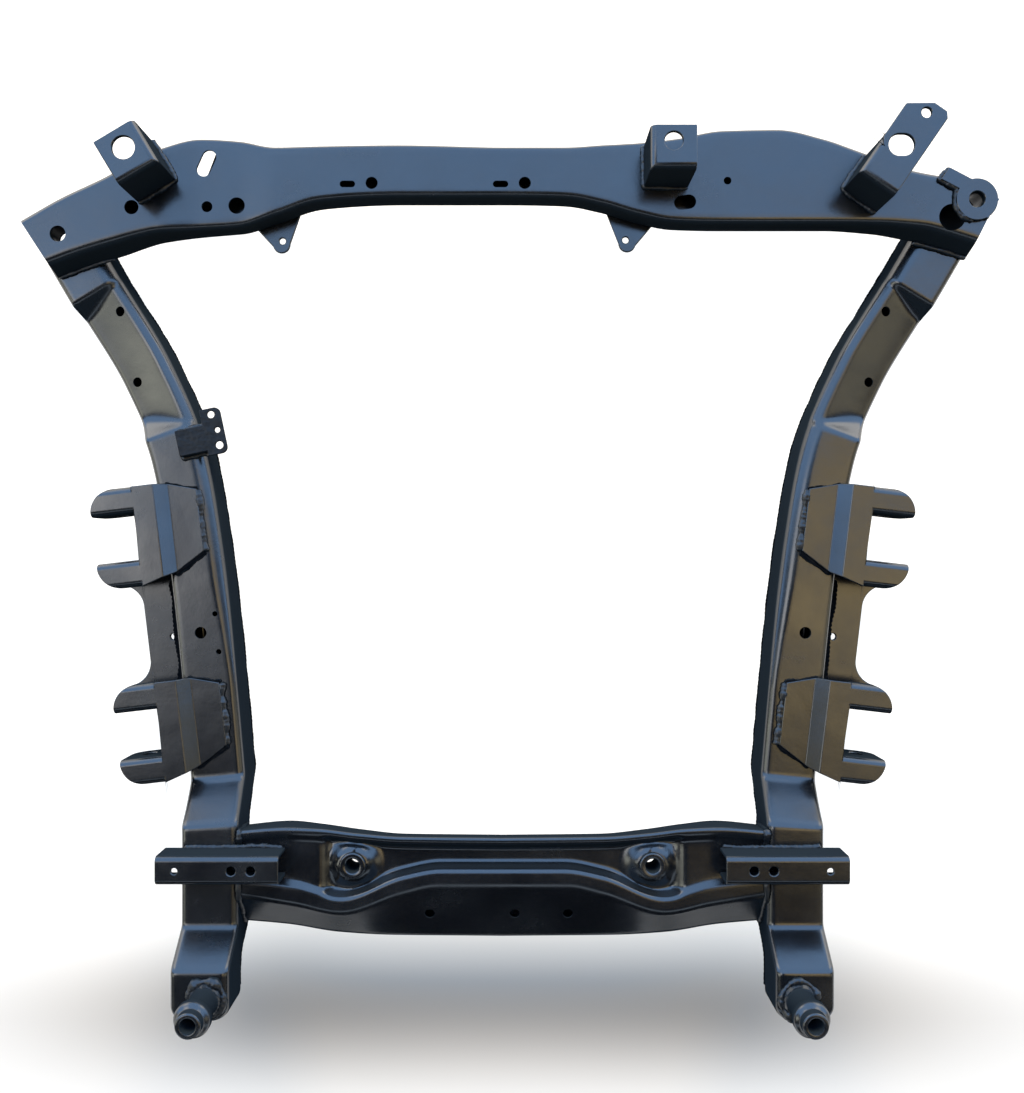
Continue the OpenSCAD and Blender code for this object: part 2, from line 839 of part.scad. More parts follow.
function front_lip_at(x, z) = [x, curve(front_lip, abs(x)), z];
function front_rear_at(x, z) =
    let (foot = curve(front_foot, abs(x)), ridge = curve(front_ridge, abs(x)))
    [x, foot + (ridge - foot) * (z - front_z0) / front_depth, z];

function front_upper_section(x) =
    let (
        d = abs(x),
        ridge = curve(front_ridge, d),
        valley_z = front_z1 - valley_depth * curve(valley_share, d)
    )
    section([
        [front_lip_at(x, front_z0), 0, 1],
        [front_lip_at(x, front_z0 + lip_h), lip_bend, 3],
        [[x, curve(front_crest, d), front_z1], 6, 4],
        [[x, curve(valley_front, d), front_z1], 3, 2],
        [[x, curve(valley_front, d) + valley_fall, valley_z], 3, 2],
        [[x, ridge - ridge_flat - ridge_fall, valley_z], 3, 2],
        [[x, ridge - ridge_flat, front_z1], 2.5, 2],
        [[x, ridge, front_z1], 3, 3],
        [front_rear_at(x, front_z0), 0, 1]
    ]);

function front_inset(k, z, side) =
    let (
        x = front_marks[k],
        before = front_marks[max(k - 1, 0)],
        after = front_marks[min(k + 1, 2 * front_last)]
    )
    side > 0
    ? front_lip_at(x, z) - nest * wall_out(front_lip_at(before, z), front_lip_at(after, z), 1)
    : front_rear_at(x, z) - nest * wall_out(front_rear_at(before, z), front_rear_at(after, z), -1);

function level_end(p, k) = [front_marks[k], p[1], p[2]];

function front_lower_section(k) =
    section([
        [level_end(front_inset(k, front_z0 + beam_flange, -1), k), 0, 1],
        [level_end(front_inset(k, front_z0, -1), k), 4, 3],
        [level_end(front_inset(k, front_z0, 1), k), 4, 3],
        [level_end(front_inset(k, front_z0 + lip_h - lip_bend - 1, 1), k), 0, 1]
    ]);

module both_sides(at) {
    for (side = [-1, 1]) translate([side * at[0], at[1], 0]) children();
}

module front_beam_upper() {
    color(paint) difference() {
        pressed_sheet([for (x = front_marks) front_upper_section(x)], sheet);
        both_sides(boss_at) translate([0, 0, front_z0]) cylinder(r = boss_r + weld_gap, h = 2 * front_depth);
        for (at = face_holes) translate([0, 0, front_z0 + sheet + 1]) drill_top(at, face_hole_d);
    }
}

module front_beam_lower() {
    color(paint) difference() {
        pressed_sheet([for (k = [0 : 2 * front_last]) front_lower_section(k)], sheet);
        both_sides(boss_at) cylinder(d = boss_bore, h = through);
    }
}

// Turned bush seat with a domed top, standing on the beam's floor
module front_boss() {
    z0 = front_z0 + sheet + weld_gap;
    bore_r = boss_bore / 2;
    ring_r = bore_r + 4;
    dome_z = front_z1 - 6;
    rise = 8;
    color(paint) rotate_extrude() polygon(concat(
        [[bore_r, z0], [boss_r, z0]],
        [for (a = [0 : 15 : 90]) [ring_r + (boss_r - ring_r) * cos(a), dome_z + rise * sin(a)]],
        [[bore_r + 1, dome_z + rise], [bore_r, dome_z + rise - 2]]
    ));
}

module front_boss_left() {
    translate([-boss_at[0], boss_at[1], 0]) front_boss();
}

module front_boss_right() {
    translate([boss_at[0], boss_at[1], 0]) front_boss();
}

// Inverted channel across the rail and the beam's end
module radiator_bracket() {
    t = 3;
    r = 5;
    color(paint) translate([radiator_from, radiator_y, level_1 + weld_gap]) difference() {
        rotate([90, 0, 90]) linear_extrude(radiator_l) difference() {
            translate([-radiator_w / 2, 0]) channel_outline(radiator_w, radiator_h, r);
            translate([t - radiator_w / 2, -1]) channel_outline(radiator_w - 2 * t, radiator_h + 1 - t, r - t);
        }
        translate([0, 0, radiator_h / 2]) {
            for (x = [24, 41]) drill_top([x, 0], 8);
            drill_top([90, 0], 5.5);
        }
    }
}

// Rectangle with both upper corners rounded
module channel_outline(w, h, r) {
    square([w, h - r]);
    translate([r, 0]) square([w - 2 * r, h]);
    translate([r, h - r]) circle(r);
    translate([w - r, h - r]) circle(r);
}

module radiator_bracket_right() {
    radiator_bracket();
}

module radiator_bracket_left() {
    left_side() radiator_bracket();
}

rear_beam_upper();
rear_beam_lower();
rack_bracket_left();
rack_bracket_centre();
rack_bracket_right();
shield_tab_left();
shield_tab_right();
rear_mount_plate();
rear_sleeve_left();
rear_sleeve_right();
rail_upper_left();
rail_upper_right();
rail_lower_left();
rail_lower_right();
rail_end_cap_left();
rail_end_cap_right();
arm_bracket_rear_left();
arm_bracket_front_left();
arm_bracket_rear_right();
arm_bracket_front_right();
arm_web_left();
arm_web_right();
line_bracket();
front_pin_left();
front_pin_right();
front_beam_upper();
front_beam_lower();
front_boss_left();
front_boss_right();
radiator_bracket_left();
radiator_bracket_right();
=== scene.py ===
"""Front subframe of a car: gloss black pressed rails and crossmembers with their brackets, pins and welds.

Every shape is worked out in millimetres in the car's frame, +X right, +Y rear and +Z up, and goes into
its mesh in metres. The pressings repeat the curves of the solids on a much finer grid.
"""

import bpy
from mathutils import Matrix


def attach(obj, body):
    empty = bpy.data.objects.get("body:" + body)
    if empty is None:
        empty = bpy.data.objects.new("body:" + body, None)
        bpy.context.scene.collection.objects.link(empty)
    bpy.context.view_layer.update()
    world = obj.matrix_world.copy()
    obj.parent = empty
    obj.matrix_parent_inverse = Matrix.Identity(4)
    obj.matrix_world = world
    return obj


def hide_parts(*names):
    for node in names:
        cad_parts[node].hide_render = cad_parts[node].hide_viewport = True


bl_info = {
    "name": "Front subframe",
    "version": (1, 0, 0),
    "blender": (4, 5, 0),
    "location": "3D View > Sidebar > Subframe",
    "description": "Builds the painted look of a welded front subframe round its solids",
    "category": "Add Mesh",
}

import bmesh
import bpy
import numpy as np

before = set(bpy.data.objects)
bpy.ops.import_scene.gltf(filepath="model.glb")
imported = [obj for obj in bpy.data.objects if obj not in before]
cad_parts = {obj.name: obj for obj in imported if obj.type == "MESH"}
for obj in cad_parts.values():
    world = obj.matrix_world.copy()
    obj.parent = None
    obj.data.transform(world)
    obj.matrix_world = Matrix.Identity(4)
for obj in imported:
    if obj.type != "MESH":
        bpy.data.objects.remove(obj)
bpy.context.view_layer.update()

SIDES = (("left", -1), ("right", 1))
# Reach of the hole cutters under and over the faces that they go through, and steps round turned pieces
CAP_CUT, TRAY_CUT, FACE_CUT, SEAT_CUT = (8, 20), (8, 18), (1, 30), (8, 8)
TUBE_STEPS, TURNED_STEPS = 64, 72

# Rails: middle line as y and distance from the middle plane, steps as start and run, the recess's end walls
# from the rear as brim and foot, foot and brim, where the inner shoulder starts to shrink and over what run
RAIL_PATH = [
    (-400, 262), (-300, 262), (-245, 262), (-200, 266), (-60, 279),
    (20, 289), (97, 303), (176, 335), (254, 382), (312, 416),
]
RAIL_FRONT, RAIL_REAR = -397.0, 312.0
STEP_1, STEP_2 = (-203.0, 33.0), (-327.0, 27.0)
RECESS_REAR, RECESS_FRONT = (250.0, 238.0), (143.0, 120.0)
SHOULDER = (-20.0, 90.0)
# Share of a ramp's run that is rounded at each end
SOFT = 0.12
# Holes in the rails' tops: y, distance outwards from the middle line, diameter, and the heights of the cut
RAIL_HOLES = [(-67, 3, 11), (228, -9, 9), (173, 12, 9)]
RAIL_HOLES_LEFT = [(-51, -12, 5), (-86, -12, 5)]
RAIL_CUT = (-20, 90)

# Rear mounts: places, bore, hole for the tool under the left one, inner and outer radius of the sleeves
MOUNTS = {"left": (-404, 297), "right": (429, 327)}
MOUNT_BORE, ACCESS_HOLE = 14.5, 24
SLEEVE = (7.25, 9.25)

# Rear edge x, y, front edge x, y, lean of the front wall and drop of the top, from left to right
BEAM_PLAN = np.array([
    (-439, 310, -413, 270, 8, 0), (-402, 331, -386, 280, 8, 0), (-366, 348, -356, 289, 8, 0),
    (-311, 376, -313, 299, 4, 0), (-275, 385, -277, 301, 1, 2), (-240, 383, -242, 303, 0, 2),
    (-207, 377, -205, 314, 0, 0), (-166, 378, -166, 326, 0, 0), (-93, 379, -93, 330, 0, 0),
    (0, 377, 0, 330, 0, 0), (55, 377, 55, 329, 0, 0), (90, 379, 90, 323, 0, 0),
    (125, 381, 125, 313, 0, 0), (160, 385, 157, 307, 0, 0), (200, 392, 200, 306, 0, 0),
    (250, 393, 250, 306, 0, 0), (290, 385, 297, 306, 0, 0), (325, 373, 340, 306, 3, 0),
    (372, 356, 379, 304, 8, 0), (413, 348, 405, 298, 9, 0), (437, 341, 421, 293, 9, 0),
    (449, 328, 430, 290, 9, 0),
], float)
# Holes as x, y, diameter, and slots as two ends and a width
BEAM_HOLES = [
    (-337, 321, 13), (-269, 322, 10), (-242, 323, 15), (-119, 343, 11), (20, 343, 11), (204, 345, 7),
    (*MOUNTS["left"], MOUNT_BORE), (*MOUNTS["right"], MOUNT_BORE), (408, 312, 24),
]
BEAM_SLOTS = [
    ((-272, 356), (-267, 367), 13), ((-145, 342), (-137, 342), 6), ((-6, 342), (2, 342), 6),
    ((162, 325), (169, 326), 13),
]
BEAM_NOTCH = ((-280, 362), (-270, 388), 15)

# Front beam in plan: distance from the middle plane, y
FRONT_LIP = [(0, -344), (100, -343), (150, -340), (195, -333), (240, -329)]
FRONT_CREST = [(0, -290), (58, -290), (90, -297), (145, -315), (185, -307), (240, -298)]
VALLEY_FRONT = [(0, -277), (55, -277), (90, -283), (145, -302), (185, -292), (240, -285)]
FRONT_RIDGE = [(0, -247), (90, -246), (130, -243), (165, -239), (195, -238), (240, -241)]
FRONT_FOOT = [(0, -253), (90, -252), (130, -248), (165, -243), (195, -240), (240, -244)]
# Share of the valley's depth by distance from the middle plane, run of its walls, width of the rear ridge
VALLEY_SHARE = [(0, 1), (152, 1), (164, 0.3), (240, 0.3)]
VALLEY_WALL, RIDGE_TOP = 6, 6
FACE_HOLES = [(-66, -319, 9), (11, -319, 9), (59, -319, 9)]
# Bush seats: place, hole in the cap, bore, outer radius, rounding of the brim and its rise over the crest
SEAT = (134.0, -272.0)
SEAT_HOLE, SEAT_BORE = 20, 12.5
SEAT_RADIUS, SEAT_EDGE, SEAT_RISE = 11.85, 1.6, 2
# Dome round a seat: flat radius, fall per millimetre, reach, depth under the crest that it lifts, and blend
DOME_FLAT, DOME_FALL, DOME_REACH, DOME_DEPTH, DOME_BLEND = 14, 1.1, 30, 14, 6
# Inner end of the radiator brackets, the end of their weld on the rail, their middle line and half width
RADIATOR_X, RADIATOR_WELD_END, RADIATOR_Y, RADIATOR_HALF = 194.0, 284, -268.0, 12.8

# Front pins: place, then radius and height up the outside, the crown's centre and rounding, and the mouth
PIN = (256.0, -378.0)
PIN_OUTSIDE = [
    (6.5, 0), (15, 0), (15, 2.4), (14.6, 3.2), (13.2, 5.4), (12.3, 7), (12, 9), (12, 28), (12.3, 29.2),
    (13.4, 31.4), (14.8, 32.8), (15.5, 34.4), (15.5, 39.6), (14.8, 41.2), (13.4, 42.6), (11.6, 43.8),
    (11, 45),
]
PIN_CROWN = (9, 51, 2)
PIN_MOUTH = [(7.5, 53), (6.9, 52.8), (6.5, 52.2)]

# Pivot line of the control arms: a point on it, its lean, and the brackets' places along it, rear and front
ARM_AXIS = (355.0, 20.0)
ARM_LEAN = np.radians(6.7)
ARM_ALONG = (0.0, -181.0)

# Weld runs: a bracket's foot and the webs' ends in the arms' frame, the web's seam as y, the cap's ends
# as rows of its plan and a count, the brackets as place, turn and path, and the mount plate's path, nose
# radius and arc
ARM_FOOT = [(-46, 45.5), (-77, 38), (-77, -21), (-46, -38.5)]
WEB_END_X, WEB_END_Y = (-17, 13), (-25.5, -155.5)
WEB_SEAM = (-14, -130)
CAP_ENDS = [(0.05, 1.9, 30), (18.0, 20.95, 40)]
RACK_WELDS = [
    ((-296.5, 345.5), 31, [(-40, -0.5), (0.5, -0.5), (0.5, 42)]),
    ((128, 338.5), 0, [(40, -0.5), (-0.5, -0.5), (-0.5, 38)]),
    ((308, 336.5), -34.5, [(37, -0.5), (-0.5, -0.5), (-0.5, 38)]),
]
LINE_WELD = ((-309, 105), 12, [(36, 12.6), (9.6, 12.6), (9.6, -12.6), (34, -12.6)])
PLATE_WELD, PLATE_NOSE, PLATE_ARC = [(404, 357), (395.5, 345.5), (410, 338)], 19.4, (150, 262)
PIN_WELD = 15.2
# Height of a bead's middle over the top of the rail or beam under it, by what it holds
BEAD_RISE = {
    "arm": 1.6, "web": -20.5, "web_end": -22,
    "rack": 0.8, "plate": 1.4, "line": 0.9, "pin": 1.6, "radiator": 0.6,
}
# Spread of a bead's lumps as a share of its radius, points round it, and the angle of its sharp edges
LUMPS, RING, BEAD_CREASE = 0.13, 12, 70

PLATE_NODES = [
    "rack_bracket_left", "rack_bracket_centre", "rack_bracket_right",
    "shield_tab_left", "shield_tab_right", "rear_mount_plate",
    "arm_bracket_rear_left", "arm_bracket_front_left", "arm_bracket_rear_right", "arm_bracket_front_right",
    "arm_web_left", "arm_web_right", "line_bracket", "radiator_bracket_left", "radiator_bracket_right",
    "rail_end_cap_left", "rail_end_cap_right",
]

# Paints: roughness where smooth and where dull, size of the waves in millimetres, their strength, and shine
PAINTS = {
    # All pressings and plates
    "black_chassis_paint": (0.17, 0.3, 45, 0.1, 1.0),
    # Over rough weld metal, where it pools between the ripples
    "black_paint_on_weld": (0.25, 0.45, 6, 0.35, 0.7),
    # On the line bracket, streaked and without a clear mirror
    "thin_paint_on_bracket": (0.3, 0.6, 9, 0.3, 0.3),
    # Over weld spatter in the seams, dull and nearly black: dark joints, and painted shade in the gap between
    # each web and its rail
    "dull_seam_paint_and_painted_shade": (0.5, 0.7, 6, 0.3, 0.0),
}

# Stage in metres: camera with its focal length and picture height in pixels, soft panel, and floor
CAMERA_AT = (0.0084, 0.013, 1.055)
FOCAL_LENGTH, PICTURE_HEIGHT, SENSOR_HEIGHT = 1075.3, 1093, 36
PANEL_AT, PANEL_AIM, PANEL_SIZE = (0, 1.7, 1.5), (0, -0.3, 0), (2.4, 0.9)
PANEL_POWER, PANEL_COLOUR = 84, "#ffeac4"
FLOOR_HALF, FLOOR_LEVEL = 4.0, -0.0005
# Painted shadow on the floor in front, where its glow fades out: half width, fade at the sides, middle line,
# and fade along y
PAINTED_SHADOW_HALF, PAINTED_SHADOW_SIDE, PAINTED_SHADOW_Y, PAINTED_SHADOW_FADE = 0.17, 0.47, -0.445, 0.11
FLOOR_GLOW = (0.96, 0.985, 1, 1)

# Air round the stage, laid zone over zone: limits as axis of the direction, where the zone is off and
# where it is full, whether blotches break it up, and its colour
AIR_STRENGTH, AIR_DARK, SKY_BLUES = 2.6, "#0c0e11", ("#7fa6d9", "#94bdee")
AIR_ZONES = [
    # Left wall with its window
    ([("X", -0.72, -0.56), ("Y", -0.2, -0.02), ("X", -0.15, -0.3)], True, "#a6aab2"),
    ([("X", -0.72, -0.56), ("Y", -0.18, -0.04), ("X", -0.29, -0.35)], False, "#ffffff"),
    # Right wall, warm, and its outer part
    ([("X", 0.66, 0.52), ("Y", -0.32, -0.12), ("X", 0.1, 0.26)], True, "#f6da9f"),
    ([("X", 0.66, 0.52), ("Y", -0.32, -0.12), ("X", 0.28, 0.36)], True, "#b4a484"),
    # Far sides, which the rails' recesses mirror
    ([("Z", 0.26, 0.34), ("Y", -0.34, -0.24), ("Y", 0.0, -0.06), ("X", -0.56, -0.7)], False, "#e0e2d4"),
    ([("Z", 0.26, 0.34), ("Y", -0.34, -0.24), ("Y", 0.0, -0.06), ("X", 0.56, 0.7)], False, "#a09880"),
    # Low band at the sides, and a strip in front
    ([("Z", 0.22, 0.12), ("Y", -0.25, -0.1)], False, "#8c8468"),
    ([("Y", -0.74, -0.68), ("Y", -0.54, -0.6)], False, "#8894a0"),
    # Blue sky in the rear, which reaches further forward near the ground
    ([("Y", 0.13, 0.21)], False, "sky"),
    ([("Z", 0.45, 0.2), ("Y", 0.02, 0.1)], False, "sky"),
    # Bright rear corners, which the recesses' front walls mirror
    ([("Z", 0.5, 0.3), ("Y", 0.55, 0.7), ("X", -0.42, -0.52)], False, "#ffffff"),
    ([("Z", 0.5, 0.3), ("Y", 0.55, 0.7), ("X", 0.42, 0.52)], False, "#ffffff"),
]


def mm(metres):
    """Millimetres of a size in metres."""
    return 1000 * metres


def linear(hex_colour):
    """sRGB hex to linear: c/12.92 below 0.04045, else ((c + 0.055)/1.055) to the power 2.4."""
    c = np.array([int(hex_colour[k:k + 2], 16) for k in (1, 3, 5)]) / 255
    return tuple(np.where(c <= 0.04045, c / 12.92, ((c + 0.055) / 1.055) ** 2.4))


def length(name, text, default):
    """A size in metres that a user may change."""
    return bpy.props.FloatProperty(
        name=name, description=text, default=default, min=0, unit="LENGTH", precision=4)


def colour(name, text, default):
    """A colour that a user may change."""
    return bpy.props.FloatVectorProperty(
        name=name, description=text, default=linear(default), size=3, subtype="COLOR")


class SubframeSheet(bpy.types.PropertyGroup):
    """Sizes that all pressings share."""

    sheet: length("Sheet", "Thickness of the pressed sheet", 0.0025)
    gap: length("Weld gap", "Room between two pieces that are welded", 0.0003)
    edge: length("Plate edge", "Rounding of the bracket plates' edges", 0.0007)


class SubframeRail(bpy.types.PropertyGroup):
    """Sizes of the two rails."""

    width: length("Width", "Width of a rail", 0.051)
    height: length("Height", "Height of a rail", 0.055)
    tray_wall: length("Tray wall", "Height of the lower tray's walls", 0.020)
    lap: length("Lap", "Overlap of the two pressings", 0.007)
    rise: length("First step", "Rise of the first step", 0.040)
    rise_front: length("Second step", "Rise of the second step", 0.032)
    shoulder: length("Shoulder", "Cut of the inner shoulder", 0.014)
    shoulder_front: length("Front shoulder", "Cut of the inner shoulder at the front", 0.007)
    recess: length("Recess", "Depth of the recess at the outer edge", 0.018)
    end_radius: length("End radius", "Plan radius of the front corners", 0.012)


class SubframeBeam(bpy.types.PropertyGroup):
    """Sizes of the two crossmembers."""

    depth: length("Rear depth", "Depth of the rear beam", 0.024)
    flange: length("Flange", "Height of the trays' flanges", 0.010)
    bend: length("Bend", "Cut of the rear beam's bends", 0.006)
    front_depth: length("Front depth", "Depth of the front beam", 0.033)
    valley: length("Valley", "Depth of the front beam's valley", 0.011)
    lip: length("Lip", "Height of the front beam's lip", 0.010)


class SubframeWeld(bpy.types.PropertyGroup):
    """Sizes of the weld beads."""

    bead: length("Bead", "Radius of a heavy bead", 0.0031)
    seam: length("Seam", "Radius of a seam bead", 0.0017)
    fillet: length("Fillet", "Radius of the fillet between a web and its rail", 0.0049)
    ripple: length("Ripple", "Spacing of a bead's ripples", 0.0042)


class SubframeLook(bpy.types.PropertyGroup):
    """Colours of the finishes and of the stage."""

    paint: colour("Paint", "Black chassis paint", "#07090d")
    paint_thin: colour("Thin paint", "The same paint where it lies thin", "#0c1016")
    # Painted sheen: a lighter blue-grey that upright walls and faces looking down to the front take in place
    # of their reflection
    wall: colour("Walls", "The same paint on upright walls", "#222a31")
    dust: colour("Dust", "Dust on faces that look up", "#5b5750")
    steel: colour("Steel", "Bare drawn tube", "#34363a")
    floor: colour("Floor", "Pale studio floor", "#aea69c")


# Curves


def through(points, x):
    """Smooth curve through points: cubic Hermite pieces whose slope at a point is the harmonic mean of the
    two chords beside it, and zero where they turn."""
    p = np.asarray(points, float)
    h = np.diff(p[:, 0])
    chord = np.diff(p[:, 1]) / h
    both = chord[:-1] * chord[1:]
    total = np.where(both > 0, chord[:-1] + chord[1:], 1)
    slope = np.concatenate([chord[:1], np.where(both > 0, 2 * both / total, 0), chord[-1:]])
    i = np.clip(np.searchsorted(p[:, 0], x, side="right") - 1, 0, len(h) - 1)
    t = (x - p[i, 0]) / h[i]
    rise = p[i, 1] * (1 + 2 * t) * (1 - t) ** 2 + p[i + 1, 1] * t ** 2 * (3 - 2 * t)
    return rise + h[i] * (slope[i] * t * (1 - t) ** 2 - slope[i + 1] * t ** 2 * (1 - t))


def soft(t):
    """Zero, then a parabola round t = 0, then t."""
    return np.where(t < -SOFT, 0, np.where(t > SOFT, t, (t + SOFT) ** 2 / (4 * SOFT)))


def ramp(t):
    """Straight ramp from 0 to 1 with softened ends."""
    return soft(t) - soft(t - 1)


def unit(v):
    """Vectors of length one along the last axis."""
    return v / np.maximum(np.linalg.norm(v, axis=-1, keepdims=True), 1e-12)


def carried_section(corners, cuts, counts, fills):
    """Section carried along a path: corners is rows x corners x axes. Each inner corner becomes a
    circular arc, a rational quadratic of count points from cut before the corner to cut after it, and the
    straights get fill points."""
    rows = [corners[:, :1]]
    end = corners[:, 0]
    for k in range(1, corners.shape[1] - 1):
        before, at, after = corners[:, k - 1], corners[:, k], corners[:, k + 1]
        d1, d2 = unit(at - before), unit(after - at)
        cut = np.broadcast_to(cuts[k - 1], len(at))[:, None]
        weight = np.sqrt((1 + (d1 * d2).sum(-1)) / 2)[:, None, None]
        s = np.linspace(0, 1, counts[k - 1])[None, :, None]
        q0, q1, q2 = (1 - s) ** 2, 2 * weight * s * (1 - s), s ** 2
        first, last = at - cut * d1, at + cut * d2
        arc = (q0 * first[:, None] + q1 * at[:, None] + q2 * last[:, None]) / (q0 + q1 + q2)
        f = np.linspace(0, 1, fills[k - 1] + 2)[1:-1][None, :, None]
        rows += [end[:, None] * (1 - f) + first[:, None] * f, arc]
        end = last
    f = np.linspace(0, 1, fills[-1] + 2)[1:][None, :, None]
    rows.append(end[:, None] * (1 - f) + corners[:, -1][:, None] * f)
    return np.concatenate(rows, axis=1)


def grid_normals(grid):
    """Unit cross products of the central differences along the two ways of a grid."""
    pad_i = np.concatenate([grid[:1], grid, grid[-1:]])
    pad_j = np.concatenate([grid[:, :1], grid, grid[:, -1:]], axis=1)
    return unit(np.cross(pad_i[2:] - pad_i[:-2], pad_j[:, 2:] - pad_j[:, :-2]))


def sheet_of(grid, t):
    """Closed sheet: the grid is its outer face, and the inner one lies t behind it along the grid's
    normals."""
    n, m = grid.shape[:2]
    points = np.concatenate([grid.reshape(-1, 3), (grid - t * grid_normals(grid)).reshape(-1, 3)])
    i = np.arange(n * m).reshape(n, m)
    back = n * m
    outer = np.stack([i[:-1, :-1], i[1:, :-1], i[1:, 1:], i[:-1, 1:]], -1).reshape(-1, 4)

    def rim(a, b):
        """Faces between the two sides along one edge of the grid, from the points a to the points b."""
        return np.stack([a, a + back, b + back, b], -1)

    rims = [
        rim(i[:-1, 0], i[1:, 0]), rim(i[1:, -1], i[:-1, -1]),
        rim(i[0, 1:], i[0, :-1]), rim(i[-1, :-1], i[-1, 1:]),
    ]
    return points, np.concatenate([outer, outer[:, ::-1] + back] + rims)


def turned(profile, steps):
    """Closed solid of revolution about Z: the profile's r, z points go round in equal steps."""
    angle = np.linspace(0, 2 * np.pi, steps, endpoint=False)[:, None]
    r, z = profile[:, 0][None], profile[:, 1][None]
    points = np.stack([r * np.cos(angle), r * np.sin(angle), np.broadcast_to(z, (steps, len(profile)))], -1)
    i = np.arange(steps * len(profile)).reshape(steps, -1)
    j = np.roll(i, -1, axis=0)
    quads = np.stack([i, j, np.roll(j, -1, axis=1), np.roll(i, -1, axis=1)], -1)
    return points.reshape(-1, 3), quads.reshape(-1, 4)


def mirrored(points, quads):
    """The same shape on the other side of the middle plane, with its faces turned back outwards."""
    return points * np.array([-1, 1, 1]), quads[:, ::-1]


def joined(shapes):
    """Several shapes as one list of points and one list of faces."""
    points, faces, base = [], [], 0
    for p, f in shapes:
        points.append(p)
        faces.append(np.asarray(f) + base)
        base += len(p)
    return np.concatenate(points), np.concatenate(faces)


# Pieces


def new_mesh(name, points, faces):
    """A mesh of points in millimetres."""
    mesh = bpy.data.meshes.new(name)
    mesh.from_pydata((points * 0.001).tolist(), [], [list(map(int, f)) for f in faces])
    mesh.update()
    return mesh


def shade(mesh, angle=35):
    """Smooth shading with sharp edges where faces meet at more than angle degrees."""
    mesh.shade_smooth()
    mesh.set_sharp_from_angle(angle=np.radians(angle))


def add_piece(mesh, material, replaces=()):
    """Put a mesh into the scene as a piece of the subframe."""
    piece = bpy.data.objects.new(mesh.name, mesh)
    bpy.context.scene.collection.objects.link(piece)
    mesh.materials.clear()
    mesh.materials.append(material)
    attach(piece, "root")
    if replaces:
        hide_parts(*replaces)
    return piece


def prism(outline, z0, z1):
    """Closed upright prism over a plan outline that runs anticlockwise."""
    n = len(outline)
    low = np.column_stack([outline, np.full(n, z0)])
    high = np.column_stack([outline, np.full(n, z1)])
    faces = [list(range(n))[::-1], list(range(n, 2 * n))]
    faces += [[k, (k + 1) % n, n + (k + 1) % n, n + k] for k in range(n)]
    return np.concatenate([low, high]), faces


def slot_outline(a, b, d, steps=20):
    """Outline of a slot: two half circles of diameter d round a and b."""
    a, b = np.array(a, float), np.array(b, float)
    way = np.arctan2(*(b - a)[::-1])
    half = np.linspace(-np.pi / 2, np.pi / 2, steps) + way
    far = b + d / 2 * np.column_stack([np.cos(half), np.sin(half)])
    near = a + d / 2 * np.column_stack([np.cos(half + np.pi), np.sin(half + np.pi)])
    return np.concatenate([far, near])


def hole_outline(x, y, d, steps=40):
    """Outline of a round hole."""
    angle = np.linspace(0, 2 * np.pi, steps, endpoint=False)
    return np.column_stack([x + d / 2 * np.cos(angle), y + d / 2 * np.sin(angle)])


def pierce(piece, outlines, z0, z1):
    """Cut upright holes through a piece from z0 to z1."""
    points, faces = [], []
    for outline in outlines:
        p, f = prism(outline, z0, z1)
        faces += [[k + len(points) for k in face] for face in f]
        points += p.tolist()
    cutter_mesh = new_mesh("cutter", np.array(points), faces)
    cutter = bpy.data.objects.new("cutter", cutter_mesh)
    bpy.context.scene.collection.objects.link(cutter)
    cut = piece.modifiers.new("holes", "BOOLEAN")
    cut.operation = "DIFFERENCE"
    cut.solver = "EXACT"
    cut.object = cutter
    done = bpy.data.meshes.new_from_object(piece.evaluated_get(bpy.context.evaluated_depsgraph_get()))
    piece.modifiers.remove(cut)
    whole, piece.data = piece.data, done
    done.name = piece.name
    bpy.data.meshes.remove(whole)
    bpy.data.objects.remove(cutter)
    bpy.data.meshes.remove(cutter_mesh)
    shade(done)


def plate_copy(node, material, edge):
    """A bracket's solid, merged and with its cut edges rounded, in place of the plain one."""
    form = bmesh.new()
    form.from_mesh(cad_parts[node].data)
    bmesh.ops.remove_doubles(form, verts=form.verts, dist=1e-6)
    bmesh.ops.dissolve_limit(form, angle_limit=np.radians(1), verts=form.verts, edges=form.edges)
    mesh = bpy.data.meshes.new(node + "_painted")
    form.to_mesh(mesh)
    form.free()
    shade(mesh)
    piece = add_piece(mesh, material, [node])
    bevel = piece.modifiers.new("edges", "BEVEL")
    bevel.width = edge
    bevel.segments = 2
    bevel.limit_method = "ANGLE"
    bevel.angle_limit = np.radians(40)
    bevel.use_clamp_overlap = False
    flat = piece.modifiers.new("flat_faces", "WEIGHTED_NORMAL")
    flat.weight = 100
    flat.keep_sharp = True


# Rails


def rail_x(y):
    """Distance of a rail's middle line from the car's middle plane."""
    return through(RAIL_PATH, y)


def beside_rail(y, u):
    """Plan point u outwards from the rail's middle line, square to it."""
    slope = rail_x(y + 0.5) - rail_x(y - 0.5)
    k = np.sqrt(1 + slope ** 2)
    return np.stack([rail_x(y) + u / k, y - u * slope / k], -1)


def rail_top(y, s):
    """Height of a rail's top: two softened steps up towards the front."""
    first, second = ramp((STEP_1[0] - y) / STEP_1[1]), ramp((STEP_2[0] - y) / STEP_2[1])
    return mm(s.height + s.rise * first + s.rise_front * second)


def rail_recess(y, s):
    """Depth of the recess at the rail's outer edge."""
    rear = ramp((RECESS_REAR[0] - y) / (RECESS_REAR[0] - RECESS_REAR[1]))
    front = ramp((y - RECESS_FRONT[1]) / (RECESS_FRONT[0] - RECESS_FRONT[1]))
    return mm(s.recess) * rear * front


